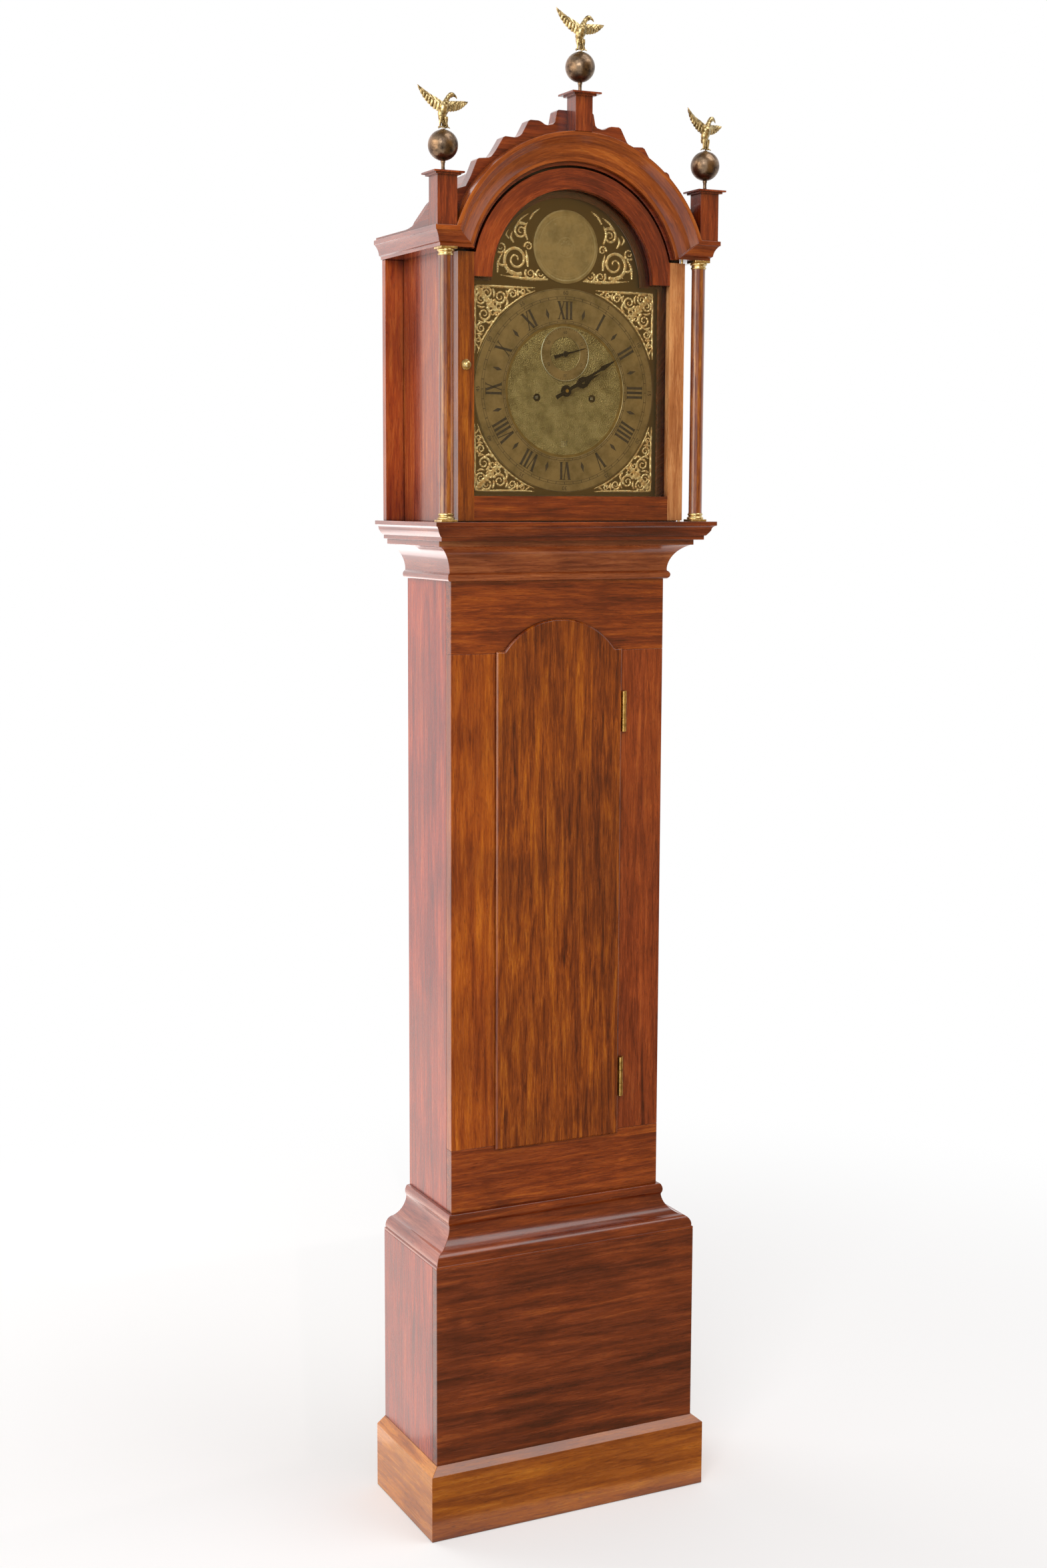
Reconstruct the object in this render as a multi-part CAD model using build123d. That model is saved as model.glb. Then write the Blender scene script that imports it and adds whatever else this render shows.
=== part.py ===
from build123d import *
import math
import os

# A longcase clock with an eight-day striking movement, in millimetres. +Z is up, the dial faces -Y
# and the origin lies on the floor under the middle of the clock's outer box.

# Case, from the floor up
trunk_front = -41.25
trunk_deep = 160.0
back_y = trunk_front + trunk_deep
trunk_half, trunk_board = 176.0, 16.0
frame_thick = 18.0
base_half, base_reach, base_board = 219.0, 43.0, 16.0
base_top = 416.0
plinth_out, plinth_outer_top, plinth_top = 14.0, 101.0, 112.0
lower_moulding_top = 484.0
frame_bottom, bottom_rail_top, top_rail_bottom = 390.0, 580.0, 1323.0
upper_moulding_bottom = 1429.0
hood_floor, hood_base_top = 1488.0, 1515.0
cheek_top, seat_thick = 1613.0, 20.0
backboard_thick, backboard_top = 12.0, 1900.0

# Trunk door, a lipped board with an arched top
opening_half, door_lip, lip_thick, door_gap = 97.0, 7.5, 5.5, 1.0
door_arch_centre, door_arch_radius, door_shoulder = 1258.0, 114.0, 1326.0
trunk_hinge_x, trunk_hinge_y = 108.0, trunk_front - 4.5
trunk_hinge_heights = (664.0, 1230.0)
knuckle_length, knuckle_radius, hinge_pin_radius, knuckle_sides = 20.0, 3.4, 1.5, 10
running_gap = 0.05

# Dial, around its centre
dial_z, dial_half, dial_arch_radius = 1703.4, 152.5, 122.0
dial_front, dial_thick = trunk_front - 12.6, 2.5
ring_outer, ring_inner, ring_thick, spandrel_thick = 146.0, 96.0, 1.5, 1.5
seconds_rise, seconds_outer, seconds_inner = 53.0, 39.0, 24.0
boss_rise, boss_radius = 205.0, 52.0
date_drop, date_inner, date_outer, date_thick = 76.0, 64.0, 86.0, 1.0
arch_z = dial_z + dial_half

# Hood
hood_half, hood_board = 186.0, 9.0
base_moulding_half, base_moulding_front = 228.5, trunk_front - 68.0
hood_face = trunk_front - 41.0
door_back = hood_face + 20.0
hood_frame_front = hood_face + 21.0
mask_thick = 5.4
cornice_bottom, cornice_top = 1895.0, 1922.5
cornice_half, cornice_front = 228.0, trunk_front - 67.0
moulding_inner, moulding_outer = 168.0, 207.0
door_arch_outer, glass_arch = 159.5, 130.0
door_half, glass_half = 183.0, 158.0
hood_door_bottom, glass_bottom, hood_door_top = 1516.5, 1551.5, 1891.0
hood_hinge_x, hood_hinge_y, hood_pin_radius = 179.5, hood_face + 3.5, 2.0
hood_pin_spans = ((hood_door_bottom - 5, hood_door_bottom + 8), (hood_door_top - 8, hood_door_top + 9))
roof_radius, roof_thick, roof_staves = 204.0, 5.0, 36
column_x, column_y, column_radius = 203.5, trunk_front - 45.0, 10.0
side_plinth_x, side_plinth_y, plinth_side = 209.5, trunk_front - 49.5, 30.0
crest_half = side_plinth_x - plinth_side / 2
side_plinth_top, centre_plinth_y, centre_plinth_top = 1990.0, trunk_front - 54.5, 2111.0
cap_side, cap_thick = 46.0, 5.0
ball_radius, ball_rise = 21.0, 36.0

# Movement: the plates and the planes of its wheels, as distances behind the trunk's front face
plate_half, plate_low, plate_high, plate_thick = 70.0, -70.0, 100.0, 3.5
front_plate_y, back_plate_y = trunk_front + 22.0, trunk_front + 87.5
arbor_radius, barrel_arbor_radius, motion_arbor_radius = 2.0, 3.0, 1.4
barrel_x, barrel_rise, barrel_radius = 45.0, -10.0, 24.0
line_radius, fixed_end_x = 0.8, 25.0
line_y = trunk_front + 54.5
line_x = barrel_x + barrel_radius + line_radius
pulley_radius = (line_x - fixed_end_x) / 2
pulley_x = (line_x + fixed_end_x) / 2
pulley_z = 400.0

# Wheel counts and modules: great wheel, centre, third and escape wheel, then the motion work
great_teeth, centre_leaves, centre_teeth, third_leaves = 96, 8, 60, 8
third_teeth, escape_leaves, escape_teeth, escape_radius = 56, 7, 30, 20.0
strike_teeth, strike_leaves, pin_teeth = 78, 8, 56
motion_teeth, motion_leaves, hour_teeth, motion_distance = 36, 6, 72, 30.0
train_module, great_module = 0.85, 0.8865
pin_module, pin_circle = 0.8, 18.2
cannon_radius, hour_pipe_radius, seconds_pivot_radius = 2.6, 4.6, 1.2
motion_module = motion_distance / motion_teeth
hour_module = 2 * motion_distance / (hour_teeth + motion_leaves)
pallet_rise = seconds_rise + 28.3

# Hands at ten past two, as clock angles in degrees from twelve
minute_angle, hour_angle, seconds_angle = 60.0, 65.0, 75.0

# Pendulum, a seconds pendulum hung from the back cock, and the weights
pendulum_y = trunk_front + 110.0
pendulum_length, bob_radius, bob_half_thick = 994.0, 52.0, 13.0
weight_radius, weight_height = 30.0, 165.0


def block(x0, x1, y0, y1, z0, z1):
    """A plain board between two opposite corners."""
    centre = Pos((x0 + x1) / 2, (y0 + y1) / 2, (z0 + z1) / 2)
    return centre * Box(x1 - x0, y1 - y0, z1 - z0)


def both_sides(piece):
    """The piece and its mirror image on the other side of the clock."""
    return Compound([*piece.solids(), *piece.mirror(Plane.YZ).solids()])


def outline(start, *steps):
    """A closed flat shape: a step of two numbers is a line's end, one of four an arc's middle and end."""
    edges, here = [], start
    for step in steps:
        edges.append(Line(here, step) if len(step) == 2 else ThreePointArc(here, step[:2], step[2:]))
        here = step[-2:]
    edges.append(Line(here, start))
    return make_face(edges)


def slab(shape, front, back):
    """A flat shape drawn in X and Z, given thickness from its front to its back."""
    return extrude(Plane((0, back, 0), x_dir=(1, 0, 0), z_dir=(0, -1, 0)) * shape, back - front)


def side_slab(shape, x0, x1):
    """A flat shape drawn in Y and Z, given thickness along X."""
    return extrude(Plane((x0, 0, 0), x_dir=(0, 1, 0), z_dir=(1, 0, 0)) * shape, x1 - x0)


def turned(profile, x=0.0, y=0.0, z=0.0, sides=16):
    """A piece turned on an upright axis, in flat facets, through pairs of radius and height."""
    turns = [2 * math.pi * side / sides for side in range(sides)]
    rings = [[(radius * math.cos(a), radius * math.sin(a), height) for a in turns]
             for radius, height in profile]
    facets = [rings[0], rings[-1]]
    for low, high in zip(rings, rings[1:]):
        facets += [(low[i - 1], low[i], high[i], high[i - 1]) for i in range(sides)]
    return Pos(x, y, z) * Solid(Shell([Face(Wire.make_polygon(facet)) for facet in facets]))


def turned_flat(profile, x, z, sides=16):
    """The same on a fore-and-aft axis, through pairs of radius and depth from the back to the front."""
    upright = turned([(radius, -depth) for radius, depth in profile], sides=sides)
    return Pos(x, 0, z) * (Rot(90, 0, 0) * upright)


def rod_y(radius, x, z, front, back, sides=12):
    """A round bar in flat facets that runs from front to back."""
    return slab(Pos(x, z) * RegularPolygon(radius, sides), front, back)


def bore_shape(radius, x, z, sides=12):
    """A hole whose facets stay outside the given radius."""
    return Pos(x, z) * RegularPolygon(radius, sides, major_radius=False)


def rod_z(radius, x, y, low, high, sides=12):
    """A round bar in flat facets that stands upright."""
    return Pos(x, y, low) * extrude(RegularPolygon(radius, sides), high - low)


def pin_z(radius, x, y, low, high):
    """A truly round pin that stands upright, for something to turn on."""
    return Pos(x, y, low) * extrude(Circle(radius), high - low)


def moulding(profile, half, front, back):
    """A profile in reach and height, run round the two sides and the front with mitred corners."""
    start = Plane((-half, back, 0), x_dir=(-1, 0, 0), z_dir=(0, 1, 0))
    path = Polyline((-half, back, 0), (-half, front, 0), (half, front, 0), (half, back, 0))
    return sweep(start * profile, path, transition=Transition.RIGHT)


def arched(half, low, high, arch_centre, radius):
    """A rectangle with an arch of the given centre and radius standing on it."""
    panel = Pos(0, (low + high) / 2) * Rectangle(2 * half, high - low)
    crown = Pos(0, arch_centre) * Circle(radius)
    above = Pos(0, high + radius) * Rectangle(2 * radius, 2 * radius)
    return panel + (crown & above)


# Base and trunk

def plinth_skirt():
    profile = outline((0, 0), (plinth_out, 0), (plinth_out, plinth_outer_top), (0, plinth_top))
    return moulding(profile, base_half, trunk_front - base_reach, back_y)


def base_front():
    front = trunk_front - base_reach
    return block(-base_half, base_half, front, front + base_board, 0, base_top)


def base_sides():
    front = trunk_front - base_reach + base_board
    return both_sides(block(base_half - base_board, base_half, front, back_y, 0, base_top))


def lower_moulding():
    low, high = base_top, lower_moulding_top
    profile = outline((0, low), (base_reach, low), (base_reach, low + 4), (base_reach - 2, low + 4),
                      (base_reach - 4, low + 15, base_reach - 12, low + 21), (base_reach - 14, low + 21),
                      (14, low + 31, 6, low + 49), (6, low + 51), (8, low + 59, 5, high - 1), (0, high))
    return moulding(profile, trunk_half, trunk_front, back_y)


def trunk_sides():
    front = trunk_front + frame_thick
    board = block(trunk_half - trunk_board, trunk_half, front, back_y, frame_bottom, cheek_top)
    return both_sides(board)


def trunk_frame():
    back = trunk_front + frame_thick
    bottom_rail = block(-trunk_half, trunk_half, trunk_front, back, frame_bottom, bottom_rail_top)
    stile = block(opening_half, trunk_half, trunk_front, back, bottom_rail_top, top_rail_bottom)
    middle = (top_rail_bottom + hood_floor) / 2
    rail = Pos(0, middle) * Rectangle(2 * trunk_half, hood_floor - top_rail_bottom)
    shoulder = door_shoulder - door_lip
    rail -= arched(opening_half, frame_bottom, shoulder, door_arch_centre, door_arch_radius - door_lip)
    top_rail = slab(rail, trunk_front, back)
    return Compound([*bottom_rail.solids(), *both_sides(stile).solids(), *top_rail.solids()])


def upper_moulding():
    low, high = upper_moulding_bottom, hood_floor
    profile = outline((0, low), (4, low), (8, low + 6, 4, low + 12), (4, low + 16),
                      (13.5, low + 39, 30, low + 51), (33, low + 51), (33, high), (0, high))
    return moulding(profile, trunk_half, trunk_front, back_y)


def backboard():
    front = back_y - backboard_thick
    inner = trunk_half - trunk_board
    wide = block(-base_half + base_board, base_half - base_board, front, back_y, 0, frame_bottom)
    return wide + block(-inner, inner, front, back_y, frame_bottom, backboard_top)


def seatboard():
    board = block(-trunk_half, trunk_half, trunk_front + 20, trunk_front + 92, cheek_top,
                  cheek_top + seat_thick)
    for x in (-line_x, line_x):
        board -= Pos(x, line_y, cheek_top + seat_thick / 2) * Box(14, 40, seat_thick)
    for x in (-fixed_end_x, fixed_end_x):
        board -= Pos(x, line_y, cheek_top + seat_thick / 2) * Box(5, 5, seat_thick)
    return board


def trunk_door():
    bottom = bottom_rail_top - door_lip + 1.5
    lip = arched(opening_half + door_lip, bottom, door_shoulder, door_arch_centre, door_arch_radius)
    panel = slab(lip, trunk_front - lip_thick, trunk_front - 0.3)
    front_edges = panel.faces().sort_by(Axis.Y)[0].edges()
    panel = chamfer(front_edges, 2.4)
    inner = arched(opening_half - door_gap, bottom_rail_top + door_gap, door_shoulder - door_lip - door_gap,
                   door_arch_centre, door_arch_radius - door_lip - door_gap)
    return panel + slab(inner, trunk_front - 0.5, trunk_front + 14)


def door_hinges():
    """The middle knuckle of each trunk door hinge, bored for its pin."""
    knuckles = []
    for z in trunk_hinge_heights:
        low, high = z - knuckle_length / 2, z + knuckle_length / 2
        knuckle = rod_z(knuckle_radius, trunk_hinge_x, trunk_hinge_y, low, high, knuckle_sides)
        knuckle += block(opening_half + door_lip, trunk_hinge_x, trunk_hinge_y + 2.5, trunk_front - 0.5,
                         low, high)
        bore = bore_shape(hinge_pin_radius + running_gap, trunk_hinge_x, trunk_hinge_y, sides=8)
        knuckles.append(knuckle - Pos(0, 0, low) * extrude(bore, knuckle_length))
    return Compound([solid for knuckle in knuckles for solid in knuckle.solids()])


def stile_hinges():
    """The upper and lower knuckles of each trunk door hinge, with the pin and the leaf on the stile."""
    hinges = []
    reach = 1.5 * knuckle_length + 0.5
    for z in trunk_hinge_heights:
        hinge = pin_z(hinge_pin_radius, trunk_hinge_x, trunk_hinge_y, z - reach, z + reach)
        for low in (z - reach, z + reach - knuckle_length):
            high = low + knuckle_length
            hinge += rod_z(knuckle_radius, trunk_hinge_x, trunk_hinge_y, low, high, knuckle_sides)
            hinge += block(trunk_hinge_x, trunk_hinge_x + 6, trunk_hinge_y + 2.7, trunk_front, low, high)
        hinges.append(hinge)
    return Compound([solid for hinge in hinges for solid in hinge.solids()])


# Hood

def hood_pin_holes(low, high):
    """The bores for the hood door's pivot pins between two heights."""
    bore = bore_shape(hood_pin_radius + running_gap, hood_hinge_x, hood_hinge_y)
    return Pos(0, 0, low) * extrude(bore, high - low)


def hood_base():
    low, high = hood_floor, hood_base_top
    reach = base_moulding_half - hood_half + hood_board
    profile = outline((0, low), (reach - 14, low), (reach - 14, low + 6), (reach - 12, low + 6),
                      (reach - 8, low + 11, reach - 6, low + 14), (reach - 4, low + 19, reach, low + 21),
                      (reach, high), (0, high))
    frame = moulding(profile, hood_half - hood_board, base_moulding_front + reach, back_y)
    return frame - hood_pin_holes(high - 6, high)


def hood_sides():
    board = block(hood_half - hood_board, hood_half, hood_frame_front, back_y, hood_base_top, cornice_top)
    strip = block(hood_half, hood_half + 29, back_y - 12, back_y, hood_base_top, cornice_bottom)
    return both_sides(Compound([*board.solids(), *strip.solids()]))


def vault_shape(radius):
    """The outline of the vault above the cornice, whose flat staves lie inside the given radius."""
    above = Pos(0, cornice_top + roof_radius) * Rectangle(2 * roof_radius, 2 * roof_radius)
    return (Pos(0, arch_z) * RegularPolygon(radius, roof_staves, rotation=180 / roof_staves)) & above


def hood_mask():
    width, middle = 2 * (hood_half - hood_board), (hood_base_top + cornice_top) / 2
    outer = Pos(0, middle) * Rectangle(width, cornice_top - hood_base_top)
    outer += vault_shape(roof_radius - roof_thick)
    inner = arched(dial_half - 1.5, dial_z - dial_half + 1.5, arch_z - 1, arch_z, dial_arch_radius - 1)
    return slab(outer - inner, hood_frame_front, hood_frame_front + mask_thick)


def crest_outline():
    """The stepped and scrolled top edge of the arch board, from one end over the crown to the other."""
    right = [(29, 2094), (33, 2074), (46, 2071), (56, 2077), (73, 2077), (85, 2055), (93, 2051),
             (112, 2052), (125, 2031), (133, 2021), (153, 2019), (163, 1995), (171, 1980), (186, 1975),
             (crest_half, 1964), (crest_half, cornice_bottom)]
    points = [(-x, z) for x, z in reversed(right)] + right
    board = make_face(Polyline(*points, close=True))
    corners = [v for v in board.vertices() if v.Y > 2000]
    return chamfer(corners, 2.4)


def arch_board():
    board = crest_outline() - Pos(0, arch_z) * Circle(door_arch_outer + 3.5)
    return slab(board, hood_face, hood_frame_front) - hood_pin_holes(cornice_bottom, cornice_bottom + 8)


def arch_moulding():
    """The arched part of the cornice, cut off where it meets the level returns."""
    inner, outer, front = moulding_inner, moulding_outer, cornice_front
    profile = outline((inner, hood_face), (inner, hood_face - 7), (inner + 5, hood_face - 7),
                      (inner + 11, hood_face - 11), (inner + 24, hood_face - 15), (inner + 33, front),
                      (outer, front), (outer, hood_face))
    ring = Pos(0, 0, arch_z) * revolve(profile, Axis.Y)
    reach_in = math.sqrt(inner**2 - (cornice_bottom - arch_z)**2)
    reach_out = math.sqrt(outer**2 - (cornice_top - arch_z)**2)
    keep = outline((-reach_in, cornice_bottom), (-reach_out, cornice_top), (-reach_out, arch_z + outer + 5),
                   (reach_out, arch_z + outer + 5), (reach_out, cornice_top), (reach_in, cornice_bottom))
    return ring & slab(keep, front - 5, hood_face + 5)


def cornice():
    """The arched moulding with its level returns over the columns and along both sides."""
    low, high = cornice_bottom, cornice_top
    reach = hood_face - cornice_front
    profile = outline((0, low), (reach - 11, low), (reach - 11, low + 4), (reach - 8, low + 6),
                      (reach - 6, low + 14, reach - 1, low + 21), (reach, low + 21), (reach, high),
                      (0, high))
    run = moulding(profile, cornice_half - reach, hood_face, back_y)
    reach_in = math.sqrt(moulding_inner**2 - (low - arch_z)**2)
    reach_out = math.sqrt(moulding_outer**2 - (high - arch_z)**2)
    gap = outline((-reach_in, low), (-reach_out, high), (reach_out, high), (reach_in, low))
    run -= slab(gap, cornice_front - 5, hood_face + 5)
    soffit = block(hood_half, cornice_half - reach, hood_frame_front, back_y, low, high)
    shoulder = block(crest_half, cornice_half - reach, hood_face, hood_frame_front, low, high)
    return arch_moulding() + run + both_sides(soffit) + both_sides(shoulder)


def hood_roof():
    """A vault of thin flat staves, side by side from the hood's front to its back."""
    vault = vault_shape(roof_radius) - vault_shape(roof_radius - roof_thick)
    return slab(vault, hood_frame_front, back_y)


def sweep_boards():
    """The board behind each side plinth that sweeps down in a hollow curve onto the side cornice."""
    front = side_plinth_y + plinth_side / 2
    shape = outline((front, cornice_top), (front, cornice_top + 33), (front + 35, cornice_top + 14,
                    front + 92, cornice_top + 4), (back_y, cornice_top + 4), (back_y, cornice_top))
    return both_sides(side_slab(shape, side_plinth_x - 3, side_plinth_x + plinth_side / 2))


def stand(x, y, low, high, side):
    """A square plinth block with a thin stepped cap, for a finial."""
    half, cap = side / 2, cap_side / 2
    shaft = block(x - half, x + half, y - half, y + half, low, high)
    bed = block(x - half - 4, x + half + 4, y - half - 4, y + half + 4, high, high + cap_thick / 2)
    top = block(x - cap, x + cap, y - cap, y + cap, high + cap_thick / 2, high + cap_thick)
    return shaft + bed + top


def finial_plinths():
    stands = [stand(side * side_plinth_x, side_plinth_y, cornice_top, side_plinth_top, plinth_side)
              for side in (-1, 1)]
    stands.append(stand(0, centre_plinth_y, arch_z + moulding_outer - 1.2, centre_plinth_top, 27))
    arch = Pos(0, cornice_front, arch_z) * (Rot(90, 0, 0) * Cylinder(moulding_outer, plinth_side * 2))
    return Compound([solid for piece in stands for solid in (piece - arch).solids()])


def columns():
    low, high = hood_base_top + 12, cornice_bottom - 12
    return both_sides(rod_z(column_radius, column_x, column_y, low, high, sides=16))


def column_brasses():
    """A square brass foot with turned rings under each column, and the same upside down on top."""
    foot = Pos(0, 0, 1.75) * Box(25, 25, 3.5)
    foot += turned([(12.2, 3.5), (12.2, 7), (10.6, 12)], sides=12)
    low = Pos(column_x, column_y, hood_base_top) * foot
    high = Pos(column_x, column_y, cornice_bottom) * (Rot(180, 0, 0) * foot)
    return both_sides(Compound([*low.solids(), *high.solids()]))


def finial_places():
    """The seat of each finial on its cap, left, centre and right."""
    side, centre = side_plinth_top + cap_thick, centre_plinth_top + cap_thick
    return ((-side_plinth_x, side_plinth_y, side), (0, centre_plinth_y, centre),
            (side_plinth_x, side_plinth_y, side))


def finial_balls():
    """A bronze ball on a turned stem with a small flange."""
    low, high = ball_rise - ball_radius, ball_rise + ball_radius
    rings = [(ball_radius * math.cos(math.radians(a)), ball_rise + ball_radius * math.sin(math.radians(a)))
             for a in (-76, -45, -15, 15, 45, 76)]
    ball = turned([(6.5, 0), (6.5, 1.8), (2.6, 4), (2.6, low - 3), *rings, (3, high + 2)], sides=8)
    return Compound([solid for place in finial_places() for solid in (Pos(*place) * ball).solids()])


def eagle():
    """A cast eagle with spread wings, its left wing raised, its head turned to its left, on two feet."""
    body = Pos(0, 0, 25) * Rot(0, 14, 0) * turned([(1.2, -15), (5.2, -9), (6.4, 0), (2, 15)], sides=5)
    neck = Pos(2.5, 0, 33) * Rot(0, 28, 0) * turned([(4.8, 0), (3, 13)], sides=5)
    head = Pos(10.5, -1, 45.5) * Rot(0, 98, 0) * turned([(1.6, -4), (3.4, -1), (2.8, 4), (0.5, 10)], sides=5)
    raised = make_face(Polyline((-2, 22), (-14, 27), (-24, 37), (-32, 46), (-36.9, 56), (-28, 50), (-20, 45),
                                (-10, 40), (0, 36), close=True))
    spread = make_face(Polyline((2, 24), (14, 25), (27, 27), (35, 31), (38.5, 38), (28, 38), (16, 36),
                                (2, 35), close=True))
    wings = slab(raised, -1.5, 1.5) + slab(spread, -1.5, 1.5)
    tail = slab(make_face(Polyline((-3, 14), (3, 14), (9, 4), (1, 3), close=True)), 1, 4)
    legs = rod_z(1.8, -2.5, 0, 1, 14, sides=4) + rod_z(1.8, 3.5, 0, 1, 14, sides=4)
    foot = rod_z(6, 0.5, 0, 0, 2, sides=6)
    return body + neck + head + wings + tail + legs + foot


def eagles():
    bird, turns = eagle(), (0, 0, 19)
    perch = ball_rise + ball_radius + 2
    birds = [Pos(x, y, z + perch) * (Rot(0, 0, turn) * bird)
             for (x, y, z), turn in zip(finial_places(), turns)]
    return Compound([solid for piece in birds for solid in piece.solids()])


# Hood door

def hood_door_frame():
    """Two stiles, a bottom rail and an arched top rail, rebated for the glass and bored for the pins."""
    stile = block(glass_half, door_half, hood_face, door_back, hood_door_bottom, hood_door_top)
    bottom = block(-glass_half, glass_half, hood_face, door_back, hood_door_bottom, glass_bottom)
    low = arch_z + 2
    level = Pos(0, (low + hood_door_top) / 2) * Rectangle(2 * glass_half, hood_door_top - low)
    above = Pos(0, low + glass_half) * Rectangle(2 * glass_half, 2 * glass_half)
    crown = (Pos(0, arch_z) * Circle(door_arch_outer)) & above
    rail = slab(level + crown - Pos(0, arch_z) * Circle(glass_arch), hood_face, door_back)
    rebate = arched(glass_half + 5, glass_bottom - 5, arch_z + 4, arch_z, glass_arch + 5)
    cut = slab(rebate, door_back - 9, door_back + 1)
    for low, high in hood_pin_spans:
        bore = bore_shape(hood_pin_radius, hood_hinge_x, hood_hinge_y, 8)
        cut += Pos(0, 0, low) * extrude(bore, high - low)
    wood = [*both_sides(stile).solids(), *bottom.solids(), *rail.solids()]
    return Compound([solid for piece in wood for solid in (piece - cut).solids()])


def hood_door_glass():
    pane = arched(glass_half + 4.5, glass_bottom - 4.5, arch_z + 3.5, arch_z, glass_arch + 4.5)
    return slab(pane, door_back - 9, door_back - 6.5)


def hood_door_brasses():
    """The two pivot pins at the hinge side, and the small turned knob on the other stile."""
    pins = [pin_z(hood_pin_radius, hood_hinge_x, hood_hinge_y, *span) for span in hood_pin_spans]
    x = -(glass_half + door_half) / 2
    knob = turned_flat([(7.5, hood_face), (7.5, hood_face - 1.5), (2.5, hood_face - 3),
                        (4.5, hood_face - 6.5), (3, hood_face - 9)], x, 1735, sides=12)
    return Compound([solid for piece in (*pins, knob) for solid in piece.solids()])


# Dial and hands

def dial_plate():
    """The arched plate with its holes, four feet that reach the front plate and the date ring's studs."""
    face = arched(dial_half, dial_z - dial_half, arch_z, arch_z, dial_arch_radius)
    face -= bore_shape(6.2, 0, dial_z)
    face -= bore_shape(3, 0, dial_z + seconds_rise)
    face -= Pos(0, dial_z - date_drop) * Rectangle(11, 9)
    for x in (-barrel_x, barrel_x):
        face -= bore_shape(5.5, x, dial_z + barrel_rise)
    back = dial_front + dial_thick
    plate = slab(face, dial_front, back)
    for x, rise in ((-62, -66), (62, -66), (-58, 92), (58, 92)):
        plate += rod_y(3, x, dial_z + rise, back - 0.5, front_plate_y, sides=8)
    reach = date_inner - 2.9 - running_gap
    for angle in (math.pi / 2, math.pi * 7 / 6, math.pi * 11 / 6):
        x, z = reach * math.cos(angle), dial_z + reach * math.sin(angle)
        plate += rod_y(2.9, x, z, back - 0.5, back + date_thick + 1.3, sides=6)
        plate += rod_y(4.6, x, z, back + date_thick + 1.2, back + date_thick + 2.2, sides=6)
    return plate


def date_ring():
    """A flat ring behind the dial that shows the day of the month in the square hole under the centre."""
    face = Pos(0, dial_z) * (RegularPolygon(date_outer, 31) - bore_shape(date_inner, 0, 0, 31))
    front = dial_front + dial_thick + 0.6
    return slab(face, front, front + date_thick)


def ring(outer, inner, z, thick, sides=32):
    face = RegularPolygon(outer, sides)
    if inner:
        face -= RegularPolygon(inner, sides)
    return slab(Pos(0, z) * face, dial_front - thick, dial_front)


def dial_rings():
    rings = (ring(ring_outer, ring_inner, dial_z, ring_thick),
             ring(seconds_outer, seconds_inner, dial_z + seconds_rise, 1, 16),
             ring(boss_radius, 0, dial_z + boss_rise, spandrel_thick, 20))
    return Compound([solid for piece in rings for solid in piece.solids()])


def dial_spandrels():
    """Cast mounts in the four corners and on both sides of the arch boss."""
    pieces = []
    for side in (-1, 1):
        for way in (-1, 1):
            corner = Pos(side * 120, dial_z + way * 120) * Rectangle(54, 54)
            corner -= Pos(0, dial_z) * RegularPolygon(ring_outer + 4, 40)
            pieces.append(slab(corner, dial_front - spandrel_thick, dial_front))
        half = Pos(side * 70, arch_z + 60) * Rectangle(100, 114)
        flank = (Pos(0, arch_z) * RegularPolygon(dial_arch_radius - 5, 40)) & half
        flank -= Pos(0, dial_z + boss_rise) * RegularPolygon(boss_radius + 4, 24)
        pieces.append(slab(flank, dial_front - spandrel_thick, dial_front))
    return Compound([solid for piece in pieces for solid in piece.solids()])


def hand(shape, angle, front, thick, bore, x=0.0, z=dial_z):
    """A flat hand drawn pointing up from its centre, turned clockwise to its place."""
    blade = Rot(0, 0, -angle) * (shape - bore_shape(bore, 0, 0))
    return slab(Pos(x, z) * blade, front, front + thick)


def minute_hand():
    shape = RegularPolygon(6, 16)
    shape += outline((-2.4, 0), (-1.6, 62), (-3.6, 68), (0, 93), (3.6, 68), (1.6, 62), (2.4, 0))
    shape += outline((-2, 0), (-3, -20), (3, -20), (2, 0))
    return hand(shape, minute_angle, dial_front - 8.5, 1.2, cannon_radius)


def hour_hand():
    shape = RegularPolygon(8.5, 16) + outline((-2.5, 0), (-2, 20), (-8, 26), (-8, 34), (-2.5, 44), (0, 62),
                                              (2.5, 44), (8, 34), (8, 26), (2, 20), (2.5, 0))
    shape -= Pos(0, 31) * RegularPolygon(3, 8)
    return hand(shape, hour_angle, dial_front - 5.5, 1.2, hour_pipe_radius)


def seconds_hand():
    shape = RegularPolygon(3.2, 12) + outline((-0.9, 0), (-0.5, 34), (0.5, 34), (0.9, 0))
    shape += outline((-1, 0), (-1.8, -18), (1.8, -18), (1, 0))
    rise = dial_z + seconds_rise
    return hand(shape, seconds_angle, dial_front - 2.8, 0.8, seconds_pivot_radius, 0, rise)


# Wheels

def toothed(teeth, phase, steps):
    """A closed outline that repeats the same steps, of radius and part of a pitch, for every tooth."""
    points = []
    for tooth in range(teeth):
        for radius, turn in steps:
            angle = math.radians(phase + (tooth + turn) * 360 / teeth)
            points.append((radius * math.cos(angle), radius * math.sin(angle)))
    return make_face(Polyline(*points, close=True))


def pinion(leaves, module, phase, front, back, x, z):
    """A small wheel whose few teeth, the leaves, are pointed and stand apart; one is at the phase angle."""
    pitch = module * leaves / 2
    tip, root = pitch + 0.5 * module, pitch - 1.5 * module
    steps = ((root, -0.24), (tip, 0.0), (root, 0.24))
    return slab(Pos(x, z) * toothed(leaves, phase, steps), front, back)


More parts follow.
